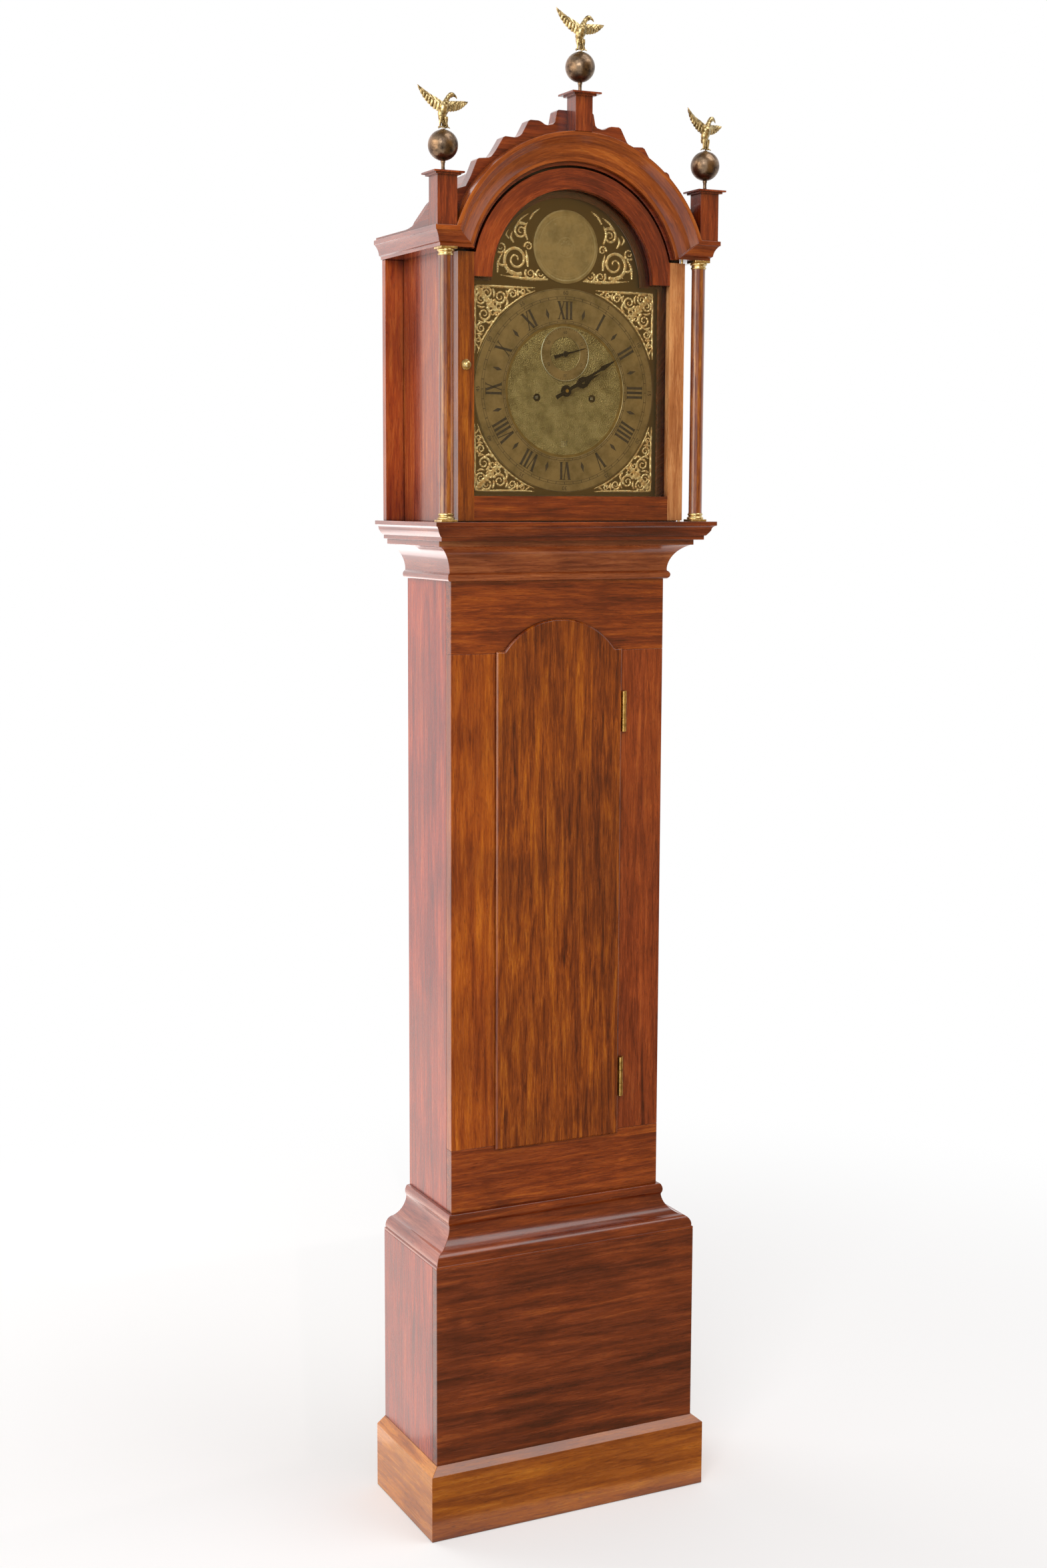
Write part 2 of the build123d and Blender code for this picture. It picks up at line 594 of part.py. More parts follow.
def wheel(teeth, module, phase, front, back, x, z, web=None):
    """A toothed wheel with pointed teeth, one of them at the phase angle; web gives its four crossings."""
    pitch = module * teeth / 2
    tip, root = pitch + 0.7 * module, pitch - 1.3 * module
    face = toothed(teeth, phase, ((tip, 0.0), (root, 0.5)))
    if web:
        face -= crossings(web, root - 3.5)
    return slab(Pos(x, z) * face, front, back)


def crossings(hub, rim):
    """The four windows that leave a wheel's spokes."""
    spoke = 3.0
    cross = Rectangle(2 * rim + 4, spoke) + Rectangle(spoke, 2 * rim + 4)
    return RegularPolygon(rim, 12) - RegularPolygon(hub, 4) - cross


def next_phase(angle, phase, teeth, next_teeth):
    """The phase that puts a gap of the next wheel on the tooth of this one, across the line of centres."""
    pitch = 360 / teeth
    part = ((angle - phase) / pitch) % 1
    return angle + 180 + (part + 0.5) * 360 / next_teeth


def heading(start, end):
    """The direction from one arbor to another in degrees, anticlockwise as seen from the front."""
    return math.degrees(math.atan2(end[1] - start[1], end[0] - start[0]))


def triangle_point(start, end, from_start, from_end, side):
    """The arbor at the two given distances from two others, on one side of the line between them."""
    dx, dz = end[0] - start[0], end[1] - start[1]
    span = math.hypot(dx, dz)
    along = (span**2 + from_start**2 - from_end**2) / (2 * span)
    off = side * math.sqrt(from_start**2 - along**2)
    return start[0] + (along * dx - off * dz) / span, start[1] + (along * dz + off * dx) / span


centre = (0.0, dial_z)
escape = (0.0, dial_z + seconds_rise)
going = (barrel_x, dial_z + barrel_rise)
strike = (-barrel_x, dial_z + barrel_rise)
third = triangle_point(centre, escape, train_module * (centre_teeth + third_leaves) / 2,
                       train_module * (third_teeth + escape_leaves) / 2, -1)
pin_distance = great_module * (strike_teeth + strike_leaves) / 2
pin_arbor = (strike[0] + pin_distance * math.cos(math.radians(80)),
             strike[1] + pin_distance * math.sin(math.radians(80)))
motion = (-24.0, dial_z - 18.0)
hammer_arbor = (-63.0, dial_z + 42.0)
pallet = (0.0, dial_z + pallet_rise)

great_phase = 0.0
centre_leaf_phase = next_phase(heading(going, centre), great_phase, great_teeth, centre_leaves)
centre_phase = 0.0
third_leaf_phase = next_phase(heading(centre, third), centre_phase, centre_teeth, third_leaves)
third_phase = 0.0
escape_leaf_phase = next_phase(heading(third, escape), third_phase, third_teeth, escape_leaves)
pin_leaf_phase = next_phase(heading(strike, pin_arbor), 0.0, strike_teeth, strike_leaves)
minute_wheel_phase = next_phase(heading(centre, motion), 0.0, motion_teeth, motion_teeth)
motion_leaf_phase = next_phase(heading(centre, motion), 0.0, hour_teeth, motion_leaves)


def depth(distance):
    """A plane at the given distance behind the trunk's front face."""
    return trunk_front + distance


def arbor(place, front, back, radius=arbor_radius):
    return rod_y(radius, *place, front, back, sides=8)


def going_great_wheel():
    plain = wheel(great_teeth, great_module, great_phase, depth(77), depth(80), *going)
    return plain - slab(bore_shape(barrel_arbor_radius + running_gap, *going), depth(76), depth(81))


def strike_great_wheel():
    plain = wheel(strike_teeth, great_module, 0.0, depth(77), depth(80), *strike)
    return plain - slab(bore_shape(barrel_arbor_radius + running_gap, *strike), depth(76), depth(81))


def barrel(place):
    """A weight barrel on its arbor, whose square end reaches the winding hole in the dial."""
    low, high = depth(37), depth(73)
    drum = rod_y(barrel_radius, *place, low, high, sides=16)
    drum += rod_y(barrel_radius + 3, *place, low, low + 2, sides=16)
    drum += rod_y(barrel_radius + 3, *place, high - 2, high, sides=16)
    square = slab(Pos(*place) * Rectangle(4.2, 4.2), dial_front + 0.5, front_plate_y + 0.5)
    return drum + arbor(place, front_plate_y, back_plate_y + plate_thick, barrel_arbor_radius) + square


def centre_wheel():
    """The centre arbor with its pinion and wheel, and in front the pipe of the cannon pinion."""
    piece = arbor(centre, depth(18), back_plate_y + plate_thick)
    piece += pinion(centre_leaves, great_module, centre_leaf_phase, depth(75), depth(82), *centre)
    piece += wheel(centre_teeth, train_module, centre_phase, depth(28), depth(30), *centre, web=5)
    piece += wheel(motion_teeth, motion_module, 0.0, depth(15.5), depth(18), *centre)
    return piece + arbor(centre, dial_front - 8.5, depth(15.5), cannon_radius)


def third_wheel():
    piece = arbor(third, front_plate_y, back_plate_y + plate_thick)
    piece += pinion(third_leaves, train_module, third_leaf_phase, depth(26.5), depth(32), *third)
    return piece + wheel(third_teeth, train_module, third_phase, depth(68), depth(70), *third, web=5)


def escape_wheel():
    """The escape wheel with its pinion; its front pivot is long and carries the seconds hand."""
    steps = ((escape_radius, 0.0), (escape_radius - 3, 0.12), (escape_radius - 3.4, 0.66))
    rim = toothed(escape_teeth, 36, steps) - crossings(4.5, escape_radius - 6)
    piece = slab(Pos(*escape) * rim, depth(50), depth(51.6))
    piece += pinion(escape_leaves, train_module, escape_leaf_phase, depth(65), depth(73), *escape)
    piece += arbor(escape, front_plate_y, back_plate_y + plate_thick)
    return piece + arbor(escape, dial_front - 2.8, front_plate_y, seconds_pivot_radius)


def minute_wheel():
    post = arbor(motion, depth(7), front_plate_y - 0.1, motion_arbor_radius)
    piece = wheel(motion_teeth, motion_module, minute_wheel_phase, depth(15.5), depth(18), *motion)
    piece += pinion(motion_leaves, hour_module, motion_leaf_phase, depth(7.5), depth(15.5), *motion)
    return piece + post


def hour_wheel():
    """The hour wheel on its pipe, which turns round the cannon pinion's pipe and carries the hour hand."""
    piece = wheel(hour_teeth, hour_module, 0.0, depth(10), depth(12), *centre)
    piece += arbor(centre, dial_front - 5.5, depth(13.5), hour_pipe_radius)
    return piece - slab(bore_shape(cannon_radius + running_gap, *centre), dial_front - 7, depth(15))


def pin_wheel():
    """The strike train's second wheel, with eight pins that lift the hammer's tail."""
    piece = arbor(pin_arbor, front_plate_y, back_plate_y + plate_thick)
    piece += pinion(strike_leaves, great_module, pin_leaf_phase, depth(75), depth(82), *pin_arbor)
    piece += wheel(pin_teeth, pin_module, 0.0, depth(32.5), depth(35), *pin_arbor, web=5)
    for pin in range(8):
        angle = math.radians(pin * 45)
        x, z = pin_arbor[0] + pin_circle * math.cos(angle), pin_arbor[1] + pin_circle * math.sin(angle)
        piece += slab(Pos(x, z) * RegularPolygon(0.9, 5), depth(28.5), depth(32.8))
    return piece


def anchor():
    """The pallet arbor with its anchor over eight teeth, and the crutch that drives the pendulum."""
    tip = math.radians(42)
    reach = escape_radius - 0.1
    x, z = reach * math.cos(tip), seconds_rise + reach * math.sin(tip)
    half = [(0, pallet_rise + 5), (9, pallet_rise + 3), (x + 6.5, z + 5), (x + 1.0, z - 0.6),
            (x - 0.6, z + 1.0), (x + 1.5, z + 5.5), (7, pallet_rise - 3), (0, pallet_rise - 4)]
    shape = make_face(Polyline(*half, *[(-a, b) for a, b in reversed(half[1:-1])], close=True))
    piece = slab(Pos(0, dial_z) * shape, depth(49), depth(52.6))
    piece += arbor(pallet, depth(25.8), depth(102.8))
    crutch_z, foot_z = dial_z + pallet_rise - 58, dial_z + pallet_rise - 114
    piece += slab(Pos(0, crutch_z) * Rectangle(3, 116), depth(94.5), depth(96))
    piece += slab(Pos(0, foot_z) * Rectangle(12, 6), depth(94.5), depth(96))
    return piece + slab(Pos(0, foot_z) * (Rectangle(12, 6) - Rectangle(7, 6)), depth(94.5), depth(112))


def hammer():
    """The hammer's arbor with its tail in front, and the arm that carries its head beside the bell."""
    piece = arbor(hammer_arbor, depth(25.8), depth(87.3))
    x, z = hammer_arbor
    tail = outline((x - 2, z - 2), (x + 9.5, z + 1), (x + 9.5, z - 1.5), (x + 2, z - 4))
    piece += slab(tail, depth(29), depth(31.5))
    piece += slab(outline((x - 2.5, z), (x + 1.5, dial_z + 122), (x + 5, dial_z + 122), (x + 2.5, z)),
                  depth(56.5), depth(59.5))
    head = extrude(Plane((x + 2.5, depth(58), dial_z + 124), z_dir=(1, 0, 0)) * RegularPolygon(4.5, 12), 9)
    return piece + head


# Movement frame

def plate(front, holes, wide_holes):
    face = Pos(0, dial_z + (plate_low + plate_high) / 2) * Rectangle(2 * plate_half, plate_high - plate_low)
    for place, radius in [(place, arbor_radius + running_gap) for place in holes] + list(wide_holes):
        face -= bore_shape(radius, *place, sides=8)
    return slab(face, front, front + plate_thick)


def barrel_holes():
    return [(place, barrel_arbor_radius + running_gap) for place in (going, strike)]


def front_plate():
    return plate(front_plate_y, (centre, third, pin_arbor, escape), barrel_holes())


def back_plate():
    return plate(back_plate_y, (centre, third, pin_arbor, escape), [*barrel_holes(), (pallet, 6.0)])


def plate_pillars():
    low, high = front_plate_y + plate_thick, back_plate_y
    posts = [rod_y(4.2, side * x, dial_z + rise, low, high, sides=8)
             for side in (-1, 1) for x, rise in ((62, -60), (42, 93))]
    return Compound([solid for post in posts for solid in post.solids()])


def back_cock():
    """The bracket behind the back plate that holds the pallet arbor's rear pivot and the pendulum."""
    behind = back_plate_y + plate_thick
    z = dial_z + pallet_rise
    foot = block(-22, 22, behind, behind + 3, z + 9, z + 18)
    arm = block(-6, 6, behind, depth(115), z + 9, z + 15)
    tab = block(-6, 6, depth(99.8), depth(102.8), z - 6, z + 10)
    cheeks = block(-6, 6, depth(107), depth(113), z + 2, z + 10)
    cheeks -= block(-1.6, 1.6, depth(107), depth(113), z + 2, z + 10)
    pivot = slab(bore_shape(arbor_radius + running_gap, 0, z), depth(99), depth(104))
    return foot + arm + tab + cheeks - pivot


def bell():
    """An open bronze bell, mouth down, above the plates."""
    low = dial_z + 116
    outside = turned([(50, 0), (48, 12), (43, 24), (33, 33), (18, 39), (5, 40)], 0, depth(58), low, 14)
    inside = turned([(47.5, 0), (45.5, 12), (40.5, 22.5), (31, 31), (17, 36.5), (5, 37.5)],
                    0, depth(58), low, 14)
    return outside - inside - rod_z(2.6, 0, depth(58), low + 36, low + 41)


def bell_stand():
    """A bent iron strap from the back plate, and the stud and nut that hold the bell."""
    low, behind = dial_z + 116, back_plate_y + plate_thick
    strap = block(-5, 5, behind, behind + 2.5, dial_z + pallet_rise + 18.2, low - 8)
    strap += block(-5, 5, depth(54), behind + 2.5, low - 8, low - 5.5)
    stud = rod_z(2.5, 0, depth(58), low - 6, low + 44, sides=8)
    nut = rod_z(4.5, 0, depth(58), low + 40, low + 43.5, sides=6)
    collar = rod_z(5, 0, depth(58), low + 31, low + 37.5, sides=8)
    return strap + stud + nut + collar


# Pendulum, weights and lines

def pendulum():
    """A thin rod on a suspension spring, with its rating nut under the bob."""
    top = dial_z + pallet_rise
    bob_z = top - pendulum_length
    spring = block(-1, 1, pendulum_y - 3, pendulum_y + 3, top - 30, top + 8)
    rod = block(-2.4, 2.4, pendulum_y - 1, pendulum_y + 1, bob_z - bob_radius - 25, top - 28)
    nut = rod_z(7.5, 0, pendulum_y, bob_z - bob_radius - 15, bob_z - bob_radius - 9)
    return spring + rod + nut


def pendulum_bob():
    """A heavy lens, thickest in its middle, slotted for the rod."""
    r, y, t = bob_radius, pendulum_y, bob_half_thick
    half = [(r, 2), (r * 0.85, t * 0.45), (r * 0.5, t * 0.87), (r * 0.1, t)]
    lens = [(radius, y + deep) for radius, deep in reversed(half)]
    lens += [(radius, y - deep) for radius, deep in half]
    bob_z = dial_z + pallet_rise - pendulum_length
    piece = turned_flat(lens, 0, bob_z, sides=20)
    return piece - block(-2.5, 2.5, y - 1.1, y + 1.1, bob_z - 60, bob_z + 60)


def weight(side):
    """A lead weight on its pulley: cylinder, hook rod, stirrup and grooved sheave with its turn of gut."""
    x, y, z = side * pulley_x, line_y, pulley_z
    top = z - 62
    lead = turned([(weight_radius - 2, top - weight_height), (weight_radius, top - weight_height + 3),
                   (weight_radius, top - 6), (weight_radius - 6, top)], x, y, sides=12)
    hook = rod_z(2.5, x, y, top - 1, top + 33, sides=6)
    bridge = block(x - 6, x + 6, y - 7, y + 7, z - 30, z - 27)
    cheeks = block(x - 5, x + 5, y - 7, y - 5, z - 28, z + 5)
    cheeks += block(x - 5, x + 5, y + 5, y + 7, z - 28, z + 5)
    groove = pulley_radius - line_radius
    sheave = turned_flat([(groove + 2.6, y + 4), (groove, y + 1), (groove, y - 1), (groove + 2.6, y - 4)],
                         x, z, sides=12)
    axle = rod_y(2, x, z, y - 8, y + 8, sides=6)
    turn = RegularPolygon(pulley_radius + line_radius, 12) - RegularPolygon(groove - 0.2, 12)
    loop = slab(Pos(x, z) * (turn & (Pos(0, -20) * Rectangle(80, 40))), y - line_radius, y + line_radius)
    return lead + hook + bridge + cheeks + sheave + axle + loop


def gut(x, low, high):
    return Pos(x, line_y, low) * extrude(RegularPolygon(line_radius, 6), high - low)


def gut_falls(side):
    """The two falls of a weight's gut line, from the seatboard down to its pulley."""
    falls = (gut(side * line_x, pulley_z, cheek_top), gut(side * fixed_end_x, pulley_z, cheek_top))
    return Compound([solid for fall in falls for solid in fall.solids()])


def gut_ends():
    """The parts of the lines above the seatboard: up to each barrel, and the knotted ends."""
    pieces = []
    for side in (-1, 1):
        pieces.append(gut(side * line_x, cheek_top, dial_z + barrel_rise))
        knot = Pos(side * fixed_end_x, line_y, cheek_top + seat_thick) * extrude(RegularPolygon(4, 6), 5)
        pieces.append(gut(side * fixed_end_x, cheek_top, cheek_top + seat_thick + 9) + knot)
    return Compound([solid for piece in pieces for solid in piece.solids()])


def make_parts():
    return {
        "plinth_skirt": plinth_skirt(), "base_front": base_front(), "base_sides": base_sides(),
        "lower_moulding": lower_moulding(), "trunk_sides": trunk_sides(), "trunk_frame": trunk_frame(),
        "upper_moulding": upper_moulding(), "backboard": backboard(), "seatboard": seatboard(),
        "trunk_door": trunk_door(), "trunk_door_hinges": door_hinges(), "stile_hinges": stile_hinges(),
        "hood_base": hood_base(), "hood_sides": hood_sides(), "hood_mask": hood_mask(),
        "arch_board": arch_board(), "cornice": cornice(), "hood_roof": hood_roof(),
        "sweep_boards": sweep_boards(), "finial_plinths": finial_plinths(), "columns": columns(),
        "column_brasses": column_brasses(), "finial_balls": finial_balls(), "eagles": eagles(),
        "hood_door_frame": hood_door_frame(), "hood_door_glass": hood_door_glass(),
        "hood_door_brasses": hood_door_brasses(),
        "dial_plate": dial_plate(), "date_ring": date_ring(), "dial_rings": dial_rings(),
        "dial_spandrels": dial_spandrels(),
        "minute_hand": minute_hand(), "hour_hand": hour_hand(), "seconds_hand": seconds_hand(),
        "front_plate": front_plate(), "back_plate": back_plate(), "plate_pillars": plate_pillars(),
        "back_cock": back_cock(), "bell": bell(), "bell_stand": bell_stand(), "hammer": hammer(),
        "going_barrel": barrel(going), "strike_barrel": barrel(strike),
        "going_great_wheel": going_great_wheel(), "strike_great_wheel": strike_great_wheel(),
        "centre_wheel": centre_wheel(), "third_wheel": third_wheel(), "escape_wheel": escape_wheel(),
        "minute_wheel": minute_wheel(), "hour_wheel": hour_wheel(), "pin_wheel": pin_wheel(),
        "anchor": anchor(), "pendulum": pendulum(), "pendulum_bob": pendulum_bob(),
        "going_weight": weight(1), "strike_weight": weight(-1),
        "going_line": gut_falls(1), "strike_line": gut_falls(-1), "gut_ends": gut_ends(),
    }


os.makedirs("parts", exist_ok=True)
for name, shape in make_parts().items():
    export_step(shape, f"parts/{name}.step")
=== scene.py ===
import bpy
import bmesh
import numpy as np
from mathutils import Matrix, Vector


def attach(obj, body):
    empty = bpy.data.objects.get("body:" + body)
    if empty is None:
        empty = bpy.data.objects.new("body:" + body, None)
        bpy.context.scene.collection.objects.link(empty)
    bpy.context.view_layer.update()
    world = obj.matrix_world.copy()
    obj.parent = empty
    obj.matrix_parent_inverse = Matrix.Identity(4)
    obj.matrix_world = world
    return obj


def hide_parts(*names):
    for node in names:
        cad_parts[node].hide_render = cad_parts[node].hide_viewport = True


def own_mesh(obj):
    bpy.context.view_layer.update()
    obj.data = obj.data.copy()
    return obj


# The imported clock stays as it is. Sizes below are in millimetres, with the dial facing -Y and the floor at 0.
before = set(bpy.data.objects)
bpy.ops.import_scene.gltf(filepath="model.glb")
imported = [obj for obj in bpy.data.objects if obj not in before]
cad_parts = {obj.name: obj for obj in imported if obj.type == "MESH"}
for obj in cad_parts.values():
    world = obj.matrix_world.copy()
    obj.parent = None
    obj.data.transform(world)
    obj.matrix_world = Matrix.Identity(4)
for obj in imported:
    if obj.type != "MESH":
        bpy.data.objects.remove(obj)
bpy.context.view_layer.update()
trunk_front, arch_z = -41.25, 1855.9


# Base: a box of broad mahogany boards with the grain of its front lying level, standing in a lighter
# bevelled skirt that is mitred at the corners. Every board is planed, stained and polished with shellac, which
# leaves the pores open and gives a soft shine that lets the figure glow.

def to_linear(code):
    """An sRGB hex colour as linear light: below 0.04045 a straight line, above it a power of 2.4."""
    srgb = np.array([int(code[i:i + 2], 16) for i in (1, 3, 5)]) / 255
    linear = np.where(srgb <= 0.04045, srgb / 12.92, ((srgb + 0.055) / 1.055) ** 2.4)
    return (*linear.tolist(), 1.0)


def feed(node, values):
    """Gives a node its inputs: each is a number, a colour or another node's output."""
    for key, value in dict(values).items():
        if isinstance(value, bpy.types.NodeSocket):
            node.id_data.links.new(value, node.inputs[key])
        else:
            node.inputs[key].default_value = value


def add_node(tree, kind, inputs=(), stops=(), out=0, **settings):
    """One shader node: settings go on it, it is fed its inputs, stops colour a ramp, and out names the output
    that comes back."""
    node = tree.nodes.new("ShaderNode" + kind)
    for key, value in settings.items():
        setattr(node, key, value)
    feed(node, inputs)
    for i, (place, code) in enumerate(stops):
        ramp = node.color_ramp.elements
        element = ramp[i] if i < 2 else ramp.new(place)
        element.position, element.color = place, to_linear(code)
    return node.outputs[out]


def surface(name):
    """A new material, its node tree and its main shader."""
    material = bpy.data.materials.new(name)
    material.use_nodes = True
    return material, material.node_tree, material.node_tree.nodes["Principled BSDF"]


def wood(name, along, tones, seed, figure=30, waver=1.4, shade=0.5, gloss=0.24, polish=0.5):
    """Polished timber. Noise drawn out along the grain, 14 times as long as it is wide, picks the tone in
    three sizes: figure, streaks a fifth of that, and fibres. Fine pores, broad blotches of tone, and painted
    shade in the creases from ambient occlusion go over it."""
    material, tree, shader = surface(name)
    place = spread = add_node(tree, "TexCoord", out="Object")
    if along == "arch":
        centred = add_node(tree, "Mapping", {"Vector": place, "Location": (0, 0, -arch_z / 1000)})
        level = add_node(tree, "VectorMath", {0: centred, 1: (1, 0, 1)}, operation="MULTIPLY")
        reach = add_node(tree, "VectorMath", {0: level}, operation="LENGTH", out="Value")
        x, y, z = add_node(tree, "SeparateXYZ", {0: centred}).node.outputs
        turn = add_node(tree, "Math", {0: x, 1: z}, operation="ARCTAN2")
        run = add_node(tree, "Math", {0: turn, 1: 0.19}, operation="MULTIPLY")
        spread = add_node(tree, "CombineXYZ", {"X": run, "Y": y, "Z": reach})
    grain = "x" if along == "arch" else along
    stretch = [1 / 14 if axis == grain else 1 for axis in "xyz"]
    drawn = add_node(tree, "Mapping", {"Vector": spread, "Location": (0.37 * seed, 0.21 * seed, 0.53 * seed),
                                       "Scale": stretch})
    broad = add_node(tree, "TexNoise", {"Vector": drawn, "Scale": 1000 / figure, "Detail": 3,
                                        "Roughness": 0.6, "Distortion": waver})
    streak = add_node(tree, "TexNoise", {"Vector": drawn, "Scale": 5000 / figure, "Detail": 4,
                                         "Roughness": 0.65, "Distortion": waver / 2})
    fibre = add_node(tree, "TexNoise", {"Vector": drawn, "Scale": 700, "Detail": 2, "Roughness": 0.6})
    figured = add_node(tree, "Mix", {0: 0.45, 2: broad, 3: streak})
    grained = add_node(tree, "Mix", {0: 0.16, 2: figured, 3: fibre})
    tone = add_node(tree, "ValToRGB", {0: grained}, tones)
    pores = add_node(tree, "TexNoise", {"Vector": drawn, "Scale": 1300, "Detail": 1})
    cloud = add_node(tree, "TexNoise", {"Vector": place, "Scale": 7, "Detail": 2, "Distortion": 0.6})
    # Painted shade: ambient occlusion darkens the colour where surfaces close in, in creases, corners and
    # recesses.
    painted_crease_shade = add_node(tree, "AmbientOcclusion", {"Distance": 0.012}, out="AO", samples=4)
    for amount, pattern, stops in ((0.6, pores, ((0.60, "#ffffff"), (0.72, "#8a7468"))),
                                   (shade, cloud, ((0.36, "#b39a90"), (0.62, "#ffffff"))),
                                   (0.8, painted_crease_shade, ((0.25, "#5a4238"), (0.8, "#ffffff")))):
        darker = add_node(tree, "ValToRGB", {0: pattern}, stops)
        tone = add_node(tree, "Mix", {0: amount, 6: tone, 7: darker}, out=2, data_type="RGBA",
                        blend_type="MULTIPLY")
    rough = add_node(tree, "MapRange", {0: streak, 1: 0.3, 2: 0.7, 3: gloss - 0.05, 4: gloss + 0.08})
    bump = add_node(tree, "Bump", {"Height": grained, "Strength": 0.25, "Distance": 0.0006})
    feed(shader, {"Base Color": tone, "Roughness": rough, "Normal": bump, "Specular IOR Level": 0.35,
                  "Coat Weight": polish, "Coat Roughness": 0.12})
    return material


def mahogany(board, *grain, **finish):
    """Shellac-polished mahogany for one board or run of moulding."""
    return wood("mahogany_polished_" + board, *grain, **finish)


def soften(thing, width, angle, harden=False):
    """Rounds over a piece's edges that are sharper than an angle, as glasspaper or a file leaves them."""
    edge = thing.modifiers.new("eased edges", "BEVEL")
    edge.width, edge.segments, edge.limit_method = width / 1000, 2, "ANGLE"
    edge.angle_limit, edge.harden_normals = np.radians(angle), harden


def place_piece(name, mesh, body, stands_for=()):
    """Puts a mesh into the scene, riding on its body, with the CAD nodes that it stands for hidden."""
    thing = bpy.data.objects.new(name, mesh)
    bpy.context.collection.objects.link(thing)
    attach(thing, body)
    if stands_for:
        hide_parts(*stands_for)
    return thing


def eased(node, body, materials, width=0.7, split=None, lay=None):
    """A merged copy of a CAD node's triangles with its corners rounded over by width. A face goes to the board
    that split names for the point just under it, and takes the material that lay names for its middle."""
    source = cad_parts[node].data
    source.calc_loop_triangles()
    corners = np.empty(len(source.vertices) * 3)
    source.vertices.foreach_get("co", corners)
    triangles = np.empty(len(source.loop_triangles) * 3, int)
    source.loop_triangles.foreach_get("vertices", triangles)
    points = corners.reshape(-1, 3)[triangles].reshape(-1, 3, 3) * 1000
    normal = np.cross(points[:, 1] - points[:, 0], points[:, 2] - points[:, 0])
    under = points.mean(1) - 0.1 * normal / np.maximum(np.linalg.norm(normal, axis=1), 1e-9)[:, None]
    board = split(under) if split else np.zeros(len(points), int)
    key = np.column_stack([np.repeat(board, 3), np.rint(points.reshape(-1, 3) * 20)])
    unique, back = np.unique(key, axis=0, return_inverse=True)
    faces = back.reshape(-1, 3)
    whole = (faces[:, 0] != faces[:, 1]) & (faces[:, 1] != faces[:, 2]) & (faces[:, 2] != faces[:, 0])
    mesh = bpy.data.meshes.new(node + "_polished")
    mesh.from_pydata((unique[:, 1:] / 20000).tolist(), [], faces[whole].tolist())
    for material in materials:
        mesh.materials.append(material)
    if lay:
        mesh.polygons.foreach_set("material_index", lay(under[whole]).astype(np.int32))
    merged = bmesh.new()
    merged.from_mesh(mesh)
    bmesh.ops.dissolve_limit(merged, angle_limit=np.radians(1), verts=merged.verts, edges=merged.edges,
                             delimit={"MATERIAL"})
    merged.to_mesh(mesh)
    merged.free()
    mesh.shade_smooth()
    soften(place_piece(node + "_polished", mesh, body, [node]), width, 29, True)


def returns(half, front):
    """Which run of a mitred moulding a point is on: 0 for the front, 1 where it stands out further sideways."""
    return lambda p: front - p[:, 1] < np.abs(p[:, 0]) - half


dark_tones = ((0.33, "#370f04"), (0.44, "#5a1f08"), (0.54, "#7c320c"), (0.64, "#9c4c12"))
# Painted sheen: the side boards' tones are lighter and redder than the front boards' tones of the same wood.
side_painted_sheen_tones = ((0.33, "#5c1206"), (0.45, "#8a240b"), (0.55, "#ad3b14"), (0.66, "#c95b1f"))
skirt_tones = ((0.33, "#5c2404"), (0.45, "#863f04"), (0.55, "#a25506"), (0.66, "#be7212"))
# Painted sheen: the skirt's sides are given much lighter tones than its front.
skirt_side_painted_sheen_tones = ((0.33, "#8f450c"), (0.45, "#bd6b16"), (0.55, "#d88628"), (0.66, "#eea040"))
base_half, base_front = 219, trunk_front - 43
eased("base_front", "case", [mahogany("base_front", "x", dark_tones, 3, 42)])
eased("base_sides", "case", [mahogany("base_sides", "z", side_painted_sheen_tones, 5)])
eased("plinth_skirt", "case",
      [mahogany("skirt_front", "x", skirt_tones, 8, 36, shade=0.3),
       mahogany("skirt_sides", "y", skirt_side_painted_sheen_tones, 9, 36)], lay=returns(base_half, base_front))


# Trunk: two side boards, and in front a frame of two stiles tenoned between a bottom rail and an arched top
# rail. Hollow and round mouldings, run in long grain and mitred, widen it to the base and to the hood. The
# short returns at their sides are rubbed to a brighter polish, and their tones are painted lighter and pinker
# than the fronts as a painted sheen.

front_tones = ((0.33, "#5a1c02"), (0.44, "#8a3803"), (0.54, "#a85004"), (0.65, "#c66c0a"))
right_tones = ((0.33, "#4a1404"), (0.44, "#742a0a"), (0.54, "#963f10"), (0.65, "#b25a1c"))
rail_tones = ((0.34, "#481605"), (0.45, "#742a07"), (0.55, "#944008"), (0.66, "#b25c10"))
moulding_tones = ((0.34, "#401004"), (0.45, "#632006"), (0.56, "#843608"), (0.67, "#a45014"))
# Painted sheen: the returns' tones are lighter and pinker than the fronts of the same mouldings.
return_painted_sheen_tones = ((0.34, "#5e1e10"), (0.45, "#8a3822"), (0.56, "#a85438"), (0.67, "#c07654"))
upper_tones = ((0.34, "#5a200e"), (0.45, "#88401e"), (0.56, "#a85a2c"), (0.67, "#c47a42"))
bottom_rail_top, top_rail_bottom, trunk_half = 580, 1323, 176


def frame_boards(p):
    """The four boards of the trunk's front: 0 and 1 the rails under and over it, 2 and 3 the stiles."""
    return np.select([p[:, 2] < bottom_rail_top, p[:, 2] > top_rail_bottom, p[:, 0] < 0], [0, 1, 2], 3)


def frame_grain(p):
    """The material of a board of the trunk's front: 0 for the rails, 1 and 2 for the left and right stile."""
    return np.maximum(frame_boards(p) - 1, 0)


def bright_return(moulding, seed):
    """The grain and the bright polish of a moulding's run along a side, in tones painted lighter and pinker as a
    painted sheen.
    """
    return mahogany(moulding + "_sides", "y", return_painted_sheen_tones, seed, gloss=0.16, polish=1.0)


